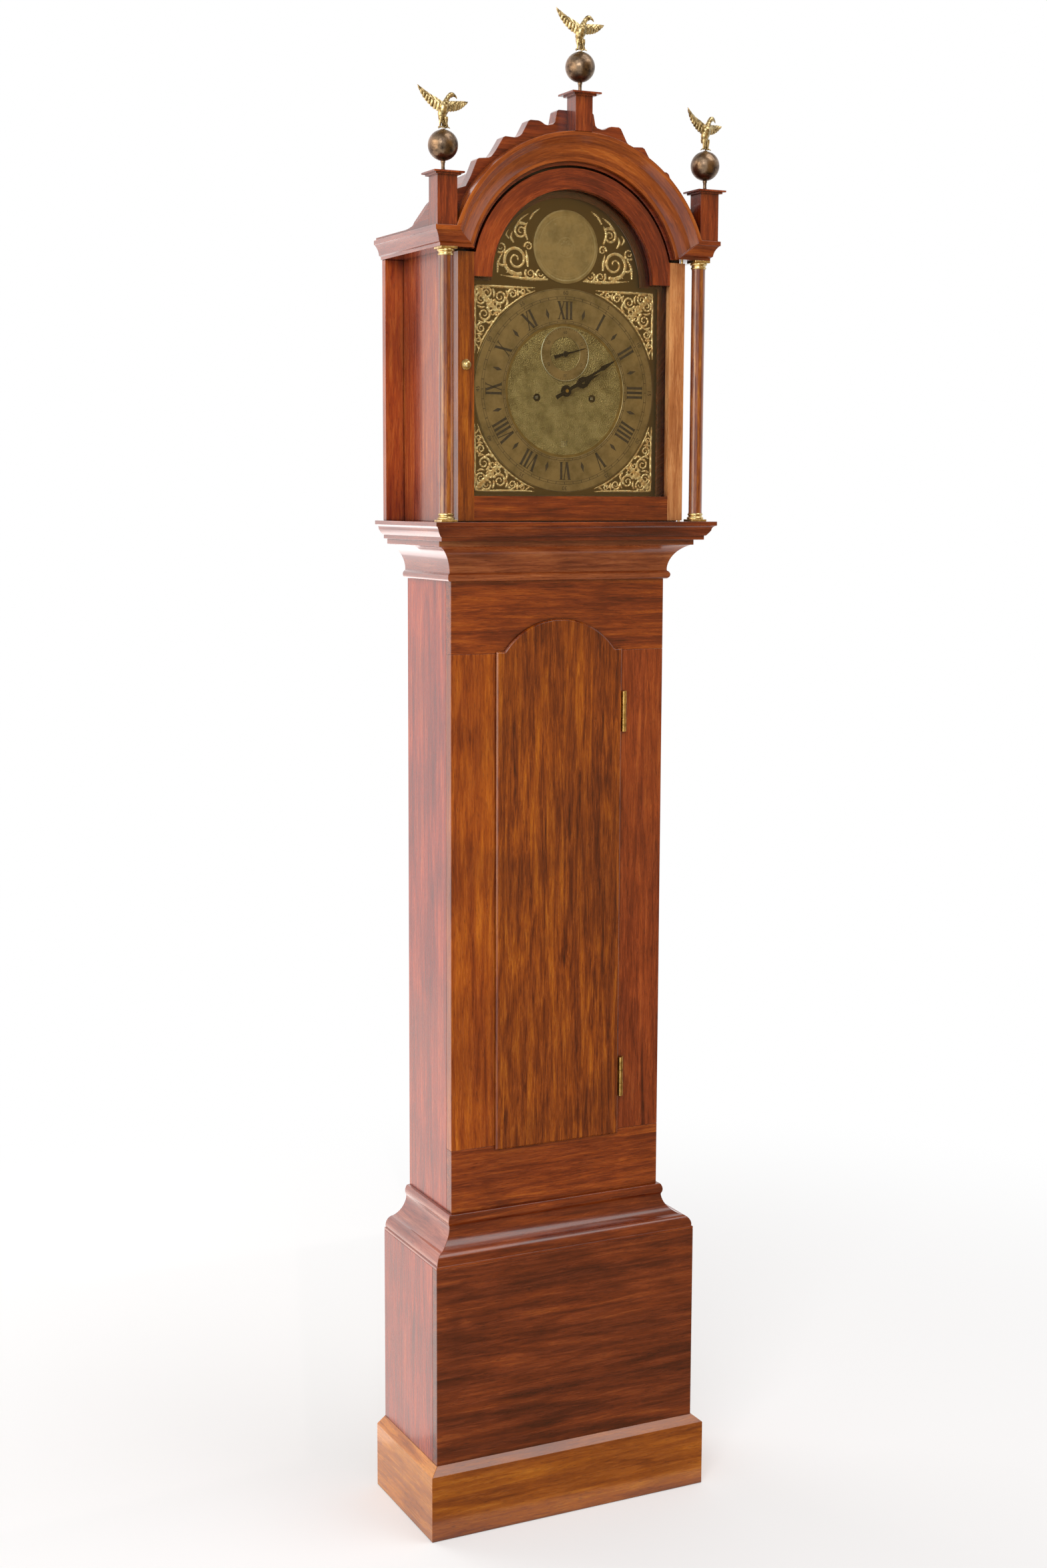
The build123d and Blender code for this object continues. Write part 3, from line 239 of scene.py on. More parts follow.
eased("trunk_frame", "case",
      [mahogany("rails", "x", rail_tones, 12, 26, 2.2), mahogany("left_stile", "z", front_tones, 14, 24),
       mahogany("right_stile", "z", right_tones, 17, 26)], split=frame_boards, lay=frame_grain)
eased("trunk_sides", "case", [mahogany("trunk_sides", "z", side_painted_sheen_tones, 21, 34)])
for node, seed, tones in (("lower_moulding", 23, moulding_tones), ("upper_moulding", 27, upper_tones)):
    eased(node, "case", [mahogany(node + "_front", "x", tones, seed), bright_return(node, seed + 1)],
          lay=returns(trunk_half, trunk_front))


# Back and seatboard: unpolished deal, sawn and roughly planed, grey-yellow with age and quite dull. The
# backboard runs from the floor into the hood, and the seatboard lies across the cheeks under the movement.

deal_tones = ((0.34, "#6b4c2c"), (0.46, "#8a6840"), (0.56, "#a38153"), (0.67, "#b89a6c"))
for node, along, seed in (("backboard", "z", 31), ("seatboard", "x", 33)):
    deal = wood("deal_sawn_" + node, along, deal_tones, seed, 40, 0.8, 0.7, 0.62, 0.0)
    eased(node, "case", [deal], 0.5)


# Trunk door: one broad board of the best figured mahogany with a lip worked on its edge and an arched top.
# It hangs on two hinges of cast brass, filed bright where they show, whose knuckles stand out past the lip.

def metal(name, bright, dull, rough, patch=12, pit=0.0, pit_size=1.5):
    """A metal surface: broad noise mixes the bright and the tarnished colour and the roughness with it, and
    small noise gives the hollows of the casting or the marks of the file, pit millimetres deep."""
    material, tree, shader = surface(name)
    place = add_node(tree, "TexCoord", out="Object")
    patches = add_node(tree, "TexNoise", {"Vector": place, "Scale": 1000 / patch, "Detail": 4, "Roughness": 0.65})
    tint = add_node(tree, "ValToRGB", {0: patches}, ((0.35, dull), (0.6, bright)))
    worn = add_node(tree, "MapRange", {0: patches, 1: 0.3, 2: 0.7, 3: rough + 0.12, 4: rough - 0.06})
    feed(shader, {"Base Color": tint, "Roughness": worn, "Metallic": 1.0})
    if pit:
        grit = add_node(tree, "TexNoise", {"Vector": place, "Scale": 1000 / pit_size, "Detail": 2})
        bump = add_node(tree, "Bump", {"Height": grit, "Strength": 0.8, "Distance": pit / 1000})
        feed(shader, {"Normal": bump})
    return material


door_tones = ((0.33, "#360c02"), (0.42, "#652402"), (0.52, "#904102"), (0.66, "#bc6806"))
eased("trunk_door", "trunk_door", [mahogany("trunk_door", "z", door_tones, 41, 22, 2.4, 0.65)], 1.0)
worn_brass = metal("brass_cast_filed", "#c9a560", "#8d6f3a", 0.28, 9, 0.05)
eased("trunk_door_hinges", "trunk_door", [worn_brass], 0.4)
eased("stile_hinges", "case", [worn_brass], 0.4)


# Hood: a box that slides forward off the trunk. Its arch board carries the stepped crest and an arched
# cornice that breaks into level returns over the columns; thin staves make a vaulted roof behind it, stained
# but not polished.

cornice_bottom, cornice_top, hood_face, back_y = 1895, 1922.5, trunk_front - 41, 118.75
hood_half, hood_base_half, base_moulding_front = 186, 228.5, trunk_front - 68
arch_cut, cut_slope, cornice_flat_half = 163.4, 0.985, 202
hood_tones = ((0.33, "#410f05"), (0.45, "#68210a"), (0.56, "#8c370c"), (0.67, "#ab5216"))
cornice_tones = ((0.34, "#541a06"), (0.45, "#82380a"), (0.56, "#a24e10"), (0.67, "#c06c20"))
# Painted sheen: the hood's sides are given lighter tones than its front boards.
hood_side_painted_sheen_tones = ((0.33, "#5a1606"), (0.45, "#883010"), (0.55, "#a84a18"), (0.66, "#c66a28"))


def cornice_runs(p):
    """The grain of the cornice: 0 round the arch, inside the slanting cuts, 1 level in front, 2 on the sides."""
    across = np.abs(p[:, 0])
    inside = across < arch_cut + (p[:, 2] - cornice_bottom) * cut_slope + 0.2
    arch = inside & (p[:, 1] < hood_face + 0.5) | (p[:, 2] > cornice_top + 0.2)
    return np.select([arch, hood_face - p[:, 1] > across - cornice_flat_half], [0, 1], 2)


eased("hood_base", "hood",
      [mahogany("hood_base_front", "x", moulding_tones, 45), bright_return("hood_base", 46)],
      lay=returns(hood_base_half, base_moulding_front))
eased("hood_sides", "hood", [mahogany("hood_sides", "z", hood_side_painted_sheen_tones, 48, 30)],
      split=lambda p: np.abs(p[:, 0]) > hood_half)
eased("hood_mask", "hood", [mahogany("mask", "arch", hood_tones, 51)], 0.4)
eased("arch_board", "hood", [mahogany("arch_board", "x", hood_tones, 53, 34)])
eased("cornice", "hood",
      [mahogany("cornice_arch", "arch", cornice_tones, 55, 20), mahogany("cornice_front", "x", rail_tones, 57),
       bright_return("cornice", 58)], lay=cornice_runs)
eased("sweep_boards", "hood", [mahogany("sweeps", "y", hood_tones, 63)])
eased("finial_plinths", "hood", [mahogany("plinths", "z", hood_tones, 65, 22)], 0.5)


def upright_prisms(outlines, front, thick):
    """Flat shapes of x and z with the same number of corners each, given a thickness behind the front plane."""
    outlines = np.asarray(outlines, float)
    count, corners = outlines.shape[:2]
    layers = [np.dstack([outlines[..., :1], np.full((count, corners, 1), y), outlines[..., 1:]])
              for y in (front, front + thick)]
    points = np.stack(layers, 1).reshape(-1, 3)
    start = (np.arange(count) * 2 * corners)[:, None]
    here = start + np.arange(corners)
    after = start + np.roll(np.arange(corners), -1)
    walls = np.stack([here, after, after + corners, here + corners], -1).reshape(-1, 4)
    return points, [*here.tolist(), *(here + corners).tolist(), *walls.tolist()]


def piece(name, shape, material, body, stands_for=(), sharp=35):
    """Puts points and faces into a mesh, merged and facing outwards, smooth up to a sharp angle."""
    points, faces = shape
    mesh = bpy.data.meshes.new(name)
    mesh.from_pydata((points / 1000).tolist(), [], faces)
    merged = bmesh.new()
    merged.from_mesh(mesh)
    bmesh.ops.remove_doubles(merged, verts=merged.verts, dist=1e-5)
    bmesh.ops.recalc_face_normals(merged, faces=merged.faces)
    merged.to_mesh(mesh)
    merged.free()
    mesh.materials.append(material)
    mesh.shade_smooth()
    mesh.set_sharp_from_angle(angle=np.radians(sharp))
    return place_piece(name, mesh, body, stands_for)


roof_radius, roof_thick, roof_staves, roof_front = 190, 5, 14, hood_face + 21
reach = np.arccos((cornice_top - arch_z) / roof_radius)
joints = np.linspace(-reach, reach, roof_staves + 1)
outer, inner = [np.column_stack([radius * np.sin(joints), arch_z + radius * np.cos(joints)])
                for radius in (roof_radius, roof_radius - roof_thick)]
staves = np.stack([outer[:-1], outer[1:], inner[1:], inner[:-1]], 1)
stained = wood("mahogany_stained_roof", "y", hood_tones, 61, 40, gloss=0.5)
soften(piece("roof_staves", upright_prisms(staves, roof_front, back_y - roof_front), stained, "hood",
             ["hood_roof"]), 0.7, 30)


# Columns: plain round mahogany shafts, turned and polished on the lathe until they gleam. Each one stands
# between a cast and turned brass base and the same casting upside down as its capital.

def quads(rows, cols, round_cols=True, round_rows=False):
    """The four-sided faces of a grid of points, joined up round its columns or its rows where asked."""
    r = np.arange(rows if round_rows else rows - 1)[:, None]
    c = np.arange(cols if round_cols else cols - 1)[None, :]
    r2, c2 = (r + 1) % rows, (c + 1) % cols
    return np.stack([r * cols + c, r * cols + c2, r2 * cols + c2, r2 * cols + c], -1).reshape(-1, 4)


def smooth_line(points, count):
    """A curve through the points: between two of them the cubic whose slope at each is half the step
    between its neighbours."""
    points = np.asarray(points, float)
    padded = np.vstack([2 * points[0] - points[1], points, 2 * points[-1] - points[-2]])
    t = np.linspace(0, len(points) - 1, count)
    i = np.minimum(t.astype(int), len(points) - 2)
    f = (t - i)[:, None]
    a, b, c, d = (padded[i + k] for k in range(4))
    return 0.5 * (2 * b + (c - a) * f + (2 * a - 5 * b + 4 * c - d) * f**2 + (3 * b - a - 3 * c + d) * f**3)


def turned(profile, place=(0, 0, 0), around=48, lying=False, loop=False):
    """A profile of radius and height carried once round an axis: x = r cos a, y = r sin a, z = h. Lying down,
    the height runs along Y instead. A loop joins the profile's end to its start."""
    radius, height = np.asarray(profile, float).T
    turn = np.linspace(0, 2 * np.pi, around, endpoint=False)
    x, y = np.outer(radius, np.cos(turn)), np.outer(radius, np.sin(turn))
    z = np.repeat(height, around).reshape(x.shape)
    points = np.stack((x, z, y) if lying else (x, y, z), -1).reshape(-1, 3) + place
    faces = quads(len(radius), around, round_rows=loop).tolist()
    if not loop:
        last = (len(radius) - 1) * around
        faces += [list(range(around)), list(range(last, last + around))]
    return points, faces


def joined(shapes):
    """Several shapes as one: each one's face numbers move up by the points before it."""
    starts = np.cumsum([0] + [len(points) for points, faces in shapes])
    faces = [[i + int(start) for i in face] for start, shape in zip(starts, shapes) for face in shape[1]]
    return np.concatenate([points for points, shape in shapes]), faces


def slab_box(low, high):
    """A plain block between two opposite corners, six faces on its eight corners."""
    x, y, z = np.meshgrid(*zip(low, high), indexing="ij")
    points = np.stack([x, y, z], -1).reshape(-1, 3)
    return points, [[0, 1, 3, 2], [4, 6, 7, 5], [0, 4, 5, 1], [2, 3, 7, 6], [0, 2, 6, 4], [1, 5, 7, 3]]


column_x, column_y = 203.5, trunk_front - 45
shaft_low, shaft_high, foot_low, cap_high, foot_half, foot_thick = 1527, 1883, 1515, cornice_bottom, 12.5, 3.2
shaft = [(0, shaft_low), (10.2, shaft_low), (10.2, shaft_low + 1.2), (10.0, shaft_low + 2.4),
         (10.0, shaft_high - 2.4), (10.2, shaft_high - 1.2), (10.2, shaft_high), (0, shaft_high)]
foot = [(0, 3.2), (11.7, 3.2), (12.3, 3.9), (12.5, 4.9), (12.2, 5.9), (11.5, 6.5), (11.0, 6.8), (10.4, 7.4),
        (10.2, 8.3), (10.5, 9.1), (11.2, 9.6), (11.4, 10.4), (11.1, 11.2), (10.6, 12.0), (0, 12.0)]
shafts, brasses = [], []
for x in (-column_x, column_x):
    shafts.append(turned(shaft, (x, column_y, 0)))
    brasses += [turned(foot, (x, column_y, foot_low)),
                turned([(r, -h) for r, h in foot], (x, column_y, cap_high))]
    brasses += [slab_box((x - foot_half, column_y - foot_half, low),
                         (x + foot_half, column_y + foot_half, low + foot_thick))
                for low in (foot_low, cap_high - foot_thick)]
column_tones = ((0.33, "#451408"), (0.45, "#75300e"), (0.55, "#a35a1a"), (0.66, "#c4852f"))
column_wood = wood("mahogany_turned_polished", "z", column_tones, 71, 14, gloss=0.16, polish=1.0)
piece("column_shafts", joined(shafts), column_wood, "hood", ["columns"])
column_metal = metal("brass_cast_turned", "#dcc590", "#9a8252", 0.22, 10, 0.03)
soften(piece("column_mounts", joined(brasses), column_metal, "hood", ["column_brasses"]), 0.4, 60)


# Finials: on each plinth a cast bronze ball on a short turned stem, and on the ball a gilt eagle that holds
# its left wing up and its right wing out, and looks to its left. They are cast solid and chased. The balls are
# brown with age and worn to a dull shine, and the old gilding shows dark in the hollows of the feathers.

plinth_x, plinth_y, side_seat, middle_seat = 209.5, trunk_front - 49.5, 1995, 2116
seats = ((-plinth_x, plinth_y, side_seat, 0), (0, trunk_front - 54.5, middle_seat, 0),
         (plinth_x, plinth_y, side_seat, 19))
ball_radius, ball_rise = 21, 36
angles = np.radians(np.linspace(-82, 82, 30))
ball = np.column_stack([ball_radius * np.cos(angles), ball_rise + ball_radius * np.sin(angles)]).tolist()
stem = [(0, 0), (6.5, 0), (6.9, 0.8), (6.5, 1.7), (4.2, 2.4), (2.7, 4.0), (2.4, 7.0), (2.6, 11.5), (3.4, 13.8),
        (3.2, 14.6)]
finial = stem + ball + [(2.9, 57.6), (0, 58.4)]
ball_metal = metal("bronze_cast_patinated", "#86705a", "#3f342c", 0.3, 14, 0.12, 3)
piece("finial_bronze_balls", joined([turned(finial, seat[:3]) for seat in seats]), ball_metal, "hood",
      ["finial_balls"])


def tube(path, radii, around=16, across=(0, 1, 0)):
    """An oval carried along a path: p + r1 u cos a + r2 v sin a, with v the direction across and u square to
    it and to the path."""
    path = np.asarray(path, float)
    radii = np.asarray(radii, float).reshape(len(path), -1) * np.ones(2)
    ahead = np.gradient(path, axis=0)
    ahead /= np.linalg.norm(ahead, axis=1)[:, None]
    up = np.cross(ahead, across)
    up /= np.linalg.norm(up, axis=1)[:, None]
    side = np.cross(up, ahead)
    turn = np.linspace(0, 2 * np.pi, around, endpoint=False)[None, :, None]
    points = (path[:, None] + radii[:, None, :1] * np.cos(turn) * up[:, None]
              + radii[:, None, 1:] * np.sin(turn) * side[:, None])
    last = (len(path) - 1) * around
    faces = quads(len(path), around).tolist() + [list(range(around)), list(range(last, last + around))]
    return points.reshape(-1, 3), faces


def wing(lead, trail, feathers, sweep):
    """A feathered wing between a leading and a trailing line. Its points are lead + v (trail - lead), the
    trailing edge reaches out further at each feather's middle, and ridges along v part the feathers."""
    u = np.linspace(0, 1, feathers * 8 + 1)
    v = np.linspace(0, 1, 15)[:, None]
    front, rear = smooth_line(lead, len(u)), smooth_line(trail, len(u))
    quill = np.abs(np.sin(np.pi * feathers * u))
    reach = v * (0.90 + 0.12 * quill[None] ** 0.6 * v)
    flat = front[None] + reach[..., None] * (rear - front)[None]
    covert = np.abs(np.sin(np.pi * (feathers * 0.6 * u[None] + 2.5 * v)))
    thick = (1.5 - 0.9 * v) * (1 - 0.5 * u[None]) + 0.5
    relief = np.where(v > 0.42, 0.75 * quill[None] ** 0.7, 0.6 * covert ** 0.8)
    middle = sweep * np.sin(np.pi * 0.8 * u[None]) - 2.0 * np.sin(np.pi * v) * (1 - 0.5 * u[None])
    faces_y = [middle - thick / 2 - relief, middle + thick / 2 + relief * 0.6]
    sheets = [np.stack([flat[..., 0], y, flat[..., 1]], -1).reshape(-1, 3) for y in faces_y]
    rows, cols = reach.shape
    grid = quads(rows, cols, round_cols=False)
    rim = np.concatenate([np.arange(cols), np.arange(2, rows + 1) * cols - 1,
                          np.arange(rows * cols - 2, rows * cols - cols - 1, -1),
                          np.arange(rows - 2, 0, -1) * cols])
    n, after = rows * cols, np.roll(rim, -1)
    walls = np.column_stack([rim, after, after + n, rim + n])
    return np.concatenate(sheets), np.concatenate([grid, grid[:, ::-1] + n, walls]).tolist()


def bird():
    """The eagle about its perch: an oval body and neck carried along one curve into the hooked beak, two
    feathered wings and a tail, and thighs, shanks and toes as thin tapering tubes."""
    spine = [(-2.5, 3.5, 9.5), (-2.2, 2.6, 12), (-1.2, 1.0, 17), (0, 0, 23), (1.6, -0.6, 29), (3.6, -0.8, 34.5),
             (5.8, -0.9, 39), (8.0, -1.1, 42.6), (11, -1.2, 44.9), (14, -1.2, 45.4), (16.8, -1.2, 44.6),
             (19.2, -1.2, 42.8), (20.3, -1.2, 40.4)]
    girth = [(1.6, 2.2), (3.4, 3.6), (5.9, 5.0), (7.2, 5.9), (6.4, 5.6), (4.6, 4.5), (3.4, 3.5), (3.2, 3.4),
             (3.7, 3.6), (3.2, 3.1), (1.9, 1.8), (1.2, 0.9), (0.35, 0.3)]
    step = np.arange(61)[:, None]
    ruffle = 1 + 0.045 * np.sin(step * 1.35) * (step < 38)
    shapes = [tube(smooth_line(spine, 61), smooth_line(girth, 61) * ruffle, 20),
              wing([(-1, 35), (-8, 40.5), (-17, 45), (-25, 49.5), (-36.9, 56)],
                   [(-1, 21), (-11, 25), (-20, 32.5), (-28.5, 41.5), (-36.4, 53.4)], 9, 5),
              wing([(2, 34.5), (12, 37.5), (23, 38.6), (31, 39.2), (38.5, 38.6)],
                   [(2, 22), (12, 23.5), (22, 25.5), (30.5, 29.5), (38, 36.4)], 9, 5),
              wing([(-3.4, 15), (0, 16), (3.4, 15)], [(-1.5, 3.2), (3.6, 1.6), (9, 3.4)], 5, 3)]
    for x, lean in ((-3.2, -1.0), (3.8, 1.2)):
        shapes.append(tube([(x, -0.5, 15), (x + lean * 0.4, -1, 11), (x + lean, -0.6, 6), (x + lean, 0, 1.6)],
                           [3.4, 2.9, 1.5, 1.2], 12))
        for turn in (-150, -90, -30, 90):
            way = np.array([np.cos(np.radians(turn)), np.sin(np.radians(turn)), 0])
            start = np.array([x + lean, 0, 1.4])
            shapes.append(tube([start, start + 2 * way + (0, 0, 0.4), start + 4.0 * way - (0, 0, 0.4),
                                start + 5.2 * way - (0, 0, 1.6)], [1.1, 1.0, 0.8, 0.3], 8,
                               across=(-way[1], way[0], 0)))
    return joined(shapes)


gilt = metal("brass_cast_gilt", "#cdb888", "#5c4b2c", 0.3, 6, 0.15, 1.6)
perch_rise = ball_rise + ball_radius + 1.6
points, faces = bird()
flock = []
for x, y, z, turn in seats:
    about = np.radians(turn)
    spun = points @ np.array([[np.cos(about), np.sin(about), 0], [-np.sin(about), np.cos(about), 0], [0, 0, 1]])
    flock.append((spun + (x, y, z + perch_rise), faces))
piece("gilt_eagles", joined(flock), gilt, "hood", ["eagles"], 50)


# Hood door: two stiles and a bottom rail with an arched head, rebated for one pane of crown glass. It turns
# on two brass pins and has a small turned brass knob on its left stile. The glass is clear but not quite
# flat, so what it mirrors ripples.

stile_inner, door_rail_top = 158, 1552


def door_boards(p):
    """The boards of the hood door: 0 and 1 the stiles, 2 the bottom rail, 3 the arched head."""
    return np.select([p[:, 0] < -stile_inner, p[:, 0] > stile_inner, p[:, 2] < door_rail_top], [0, 1, 2], 3)


def finish_node(node, material):
    """Gives a CAD node that keeps its own shape its material."""
    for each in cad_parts[node].material_slots:
        each.material = material


stile_tones = ((0.33, "#4c1803"), (0.44, "#743002"), (0.54, "#924703"), (0.66, "#ae610a"))
# Painted reflection: the right door stile's tones are far lighter than the left stile's, standing in for the glare
# on it.
right_door_stile_painted_glare_tones = ((0.33, "#88481f"), (0.44, "#b6703c"), (0.54, "#d08e54"), (0.66, "#e4ac70"))
eased("hood_door_frame", "hood_door",
      [mahogany("left_door_stile", "z", stile_tones, 81, 20, 2.4),
       mahogany("right_door_stile", "z", right_door_stile_painted_glare_tones, 83, 20),
       mahogany("door_rail", "x", rail_tones, 85, 24), mahogany("door_arch", "arch", hood_tones, 87, 22)],
      split=door_boards, lay=door_boards)
glass, tree, shader = surface("glass_crown_polished")
place = add_node(tree, "TexCoord", out="Object")
ripple = add_node(tree, "TexNoise", {"Vector": place, "Scale": 14, "Detail": 1})
uneven = add_node(tree, "Bump", {"Height": ripple, "Strength": 0.3, "Distance": 0.002})
clear = add_node(tree, "BsdfTransparent", {"Color": to_linear("#f3f6f2")})
shine = add_node(tree, "BsdfGlossy", {"Roughness": 0.02, "Normal": uneven})
slant = add_node(tree, "LayerWeight", {"Blend": 0.5, "Normal": uneven}, out="Facing")
fifth = add_node(tree, "Math", {0: slant, 1: 5.0}, operation="POWER")
mirrored = add_node(tree, "MapRange", {0: fifth, 3: 0.04, 4: 1.0})
pane = add_node(tree, "MixShader", {0: mirrored, 1: clear, 2: shine})
tree.nodes.remove(shader)
feed(tree.nodes["Material Output"], {"Surface": pane})
finish_node("hood_door_glass", glass)

knob_x, knob_z = -170.5, 1735
knob_profile = [(0, 0), (7.4, 0), (7.6, 0.6), (7.0, 1.3), (4.0, 1.8), (2.6, 2.8), (2.5, 3.8), (3.6, 4.8),
                (4.6, 6.2), (4.6, 7.2), (3.7, 8.4), (2.0, 9.0), (0, 9.1)]
pin_x, pin_y = 179.5, hood_face + 3.5
knob = turned([(r, hood_face - h) for r, h in knob_profile], (knob_x, 0, knob_z), 32, lying=True)
pins = [turned([(0, low), (1.9, low), (1.9, high), (0, high)], (pin_x, pin_y, 0), 24)
        for low, high in ((1511.7, 1524.3), (1883.2, 1899.8))]
piece("hood_door_knob_and_pins", joined([knob, *pins]), column_metal, "hood_door",
      ["hood_door_brasses"])


# Dial: a sheet brass plate with an arch, its middle matted with a punch so that it doesn't glare. Riveted to it
# are a silvered ring for the hours and one for the seconds, tarnished yellow-brown, with engraving filled with
# black wax, and cast scroll mounts under lacquer. The plate's colour is made darker outside the chapter ring,
# where it shows round and under the mounts. Behind the square hole turns a ring with the days of the month.
# The punch marks are drawn 1.2 mm wide so that they show.

dial_z, dial_half, dial_front, boss_rise = 1703.4, 147, trunk_front - 12.6, 205
ring_thick, ring_radius, seconds_rise = 1.5, 146, 53
seconds_place = (0, 0, dial_z + seconds_rise)
dial_brass = metal("brass_rolled_lacquered", "#ae9562", "#856e43", 0.34, 26, 0.02, 1.2)
tree, shader = dial_brass.node_tree, dial_brass.node_tree.nodes["Principled BSDF"]
place = add_node(tree, "TexCoord", out="Object")
punched = add_node(tree, "TexVoronoi", {"Vector": place, "Scale": 800}, out="Distance")
from_centre = add_node(tree, "VectorMath", {0: place, 1: (0, dial_front / 1000, dial_z / 1000)}, out="Value",
                       operation="DISTANCE")
matted = add_node(tree, "Math", {0: from_centre, 1: 0.092}, operation="LESS_THAN")
depth = add_node(tree, "Math", {0: punched, 1: matted}, operation="MULTIPLY")
dimpled = add_node(tree, "Bump", {"Height": depth, "Strength": 1.0, "Distance": 0.0012})
# The plate's colour is darker beyond the chapter ring, where it shows round and under the mounts.
beyond = add_node(tree, "Math", {0: from_centre, 1: 0.1464}, operation="GREATER_THAN")
lacquer = shader.inputs["Base Color"].links[0].from_socket
plate_darker_outside_ring = add_node(tree, "Mix", {0: beyond, 6: lacquer, 7: to_linear("#725c38")}, out=2, data_type="RGBA")
feed(shader, {"Normal": dimpled, "Base Color": plate_darker_outside_ring})
eased("dial_plate", "case", [dial_brass], 0.3)

silvered = metal("brass_silvered_worn", "#bea886", "#907b55", 0.36, 30)
boss_silver = metal("brass_silvered_worn_boss", "#d3bf9d", "#a8936c", 0.34, 24)
bright_silver = metal("brass_silvered_bright", "#e6e2d2", "#c2bca4", 0.3, 20)
eased("date_ring", "date_ring", [bright_silver], 0.15)


def ring_profile(inner, outer, back, front):
    """A ring's cross-section: a flat with its two front corners taken off."""
    return [(inner, back), (outer, back), (outer, front + 0.4), (outer - 0.4, front), (inner + 0.4, front),
            (inner, front + 0.4)]


ring_front = dial_front - ring_thick
rings = [turned(ring_profile(96, ring_radius, dial_front, ring_front), (0, 0, dial_z), 160, True, True),
         turned(ring_profile(24, 39, dial_front, dial_front - 1), seconds_place, 96, True, True)]
piece("chapter_and_seconds_rings", joined(rings), silvered, "case", ["dial_rings"], 25)
# Painted highlight: the seconds ring's outer rim is a narrow ring of the brighter silver all the way round.
edge = turned(ring_profile(37.9, 39.1, dial_front, dial_front - 1.25), seconds_place, 96, True, True)
piece("seconds_ring_edge_painted_highlight", edge, bright_silver, "case", ["dial_rings"], 25)


def clockwise(shape, degrees, rise=0.0):
    """A flat shape of x and z lifted by rise and turned clockwise about the dial's centre."""
    angle, shape = np.radians(degrees), np.asarray(shape, float)
    x, z = shape[..., 0], shape[..., 1] + rise
    return np.stack([x * np.cos(angle) + z * np.sin(angle), z * np.cos(angle) - x * np.sin(angle)], -1)


def stroke(x0, z0, x1, z1, width):
    """A straight stroke of a letter between two heights, cut level at both ends."""
    return [(x0 - width / 2, z0), (x1 - width / 2, z1), (x1 + width / 2, z1), (x0 + width / 2, z0)]


letters = {"I": (7.8, [stroke(0, 0, 0, 26, 4.2), stroke(0, 0, 0, 0.9, 6.8), stroke(0, 25.1, 0, 26, 6.8)]),
           "V": (13.0, [stroke(-5, 26, 0, 0, 4.4), stroke(5, 26, 0.6, 0, 1.7),
                        stroke(-5, 25.1, -5, 26, 6.6), stroke(5, 25.1, 5, 26, 5.0)]),
           "X": (13.0, [stroke(-5, 26, 5, 0, 4.4), stroke(5, 26, -5, 0, 1.7),
                        stroke(-5, 25.1, -5, 26, 6.6), stroke(5, 25.1, 5, 26, 5.0),
                        stroke(-5, 0, -5, 0.9, 5.0), stroke(5, 0, 5, 0.9, 6.6)])}
marks = []
for hour, numeral in enumerate(("XII", "I", "II", "III", "IIII", "V", "VI", "VII", "VIII", "IX", "X", "XI")):
    across = -sum(letters[letter][0] for letter in numeral) / 2
    for letter in numeral:
        width, strokes = letters[letter]
        placed = np.array(strokes) * (0.86, 1) + ((across + width / 2) * 0.86, 0)
        marks.extend(clockwise(placed, 30 * hour, 102))
        across += width
for count, start, shape in ((60, 0, stroke(0, 131, 0, 134.6, 0.9)), (48, 0, stroke(0, 97.4, 0, 100.2, 0.7)),
                            (12, 15, [(0, 105), (-2.6, 112), (0, 121), (2.6, 112)])):
    marks += [clockwise(shape, start + i * 360 / count) for i in range(count)]
engraving = [upright_prisms(np.array(marks) + (0, dial_z), ring_front - 0.06, 0.1)]
for radius in (97.4, 100.2, 131.0, 134.6, 145.0):
    circle = [(radius + wide, ring_front - deep)
              for wide, deep in ((-0.25, 0), (0.25, 0), (0.25, 0.06), (-0.25, 0.06))]
    engraving.append(turned(circle, (0, 0, dial_z), 160, True, True))
second_marks = [clockwise(stroke(0, 35.2, 0, 38.4 - (0.8 if i % 5 else 0), 0.5), i * 6) for i in range(60)]
engraving.append(upright_prisms(np.array(second_marks) + seconds_place[1:], dial_front - 1.06, 0.1))


def number(label, height, degrees, radius, centre, front):
    """A number in the plain built-in face, its middle at radius from a centre and its top pointing outwards."""
    curve = bpy.data.curves.new("number", "FONT")
    curve.body, curve.size, curve.extrude, curve.resolution_u = label, height * 1.35, 0.05, 3
    curve.align_x, curve.align_y = "CENTER", "CENTER"
    letters_object = bpy.data.objects.new("number", curve)
    mesh = bpy.data.meshes.new_from_object(letters_object)
    points = np.empty(len(mesh.vertices) * 3)
    mesh.vertices.foreach_get("co", points)
    points = points.reshape(-1, 3)
    flat = clockwise(points[:, :2], degrees, radius)
    faces = [list(face.vertices) for face in mesh.polygons]
    bpy.data.objects.remove(letters_object)
    return np.column_stack([flat[:, 0], front - points[:, 2], flat[:, 1] + centre]), faces


for minute in range(5, 65, 5):
    engraving.append(number(str(minute), 6.2, minute * 6, 139.8, dial_z, ring_front))
for second in range(10, 70, 10):
    engraving.append(number(str(second), 4.4, second * 6, 30.5, seconds_place[2], dial_front - 1))
day_shown, date_radius = 12, 76
dates = [number(str(day), 6.0, (day_shown - day) * 360 / 31, -date_radius, dial_z, dial_front + 3.1)
         for day in range(1, 32)]
wax, tree, shader = surface("wax_black_filled")
fill = add_node(tree, "TexNoise", {"Vector": add_node(tree, "TexCoord", out="Object"), "Scale": 300})
tint = add_node(tree, "ValToRGB", {0: fill}, ((0.35, "#170d07"), (0.65, "#382313")))
feed(shader, {"Base Color": tint, "Roughness": 0.6})
piece("dial_engraving", joined(engraving), wax, "case")
piece("date_numbers", joined(dates), wax, "date_ring")


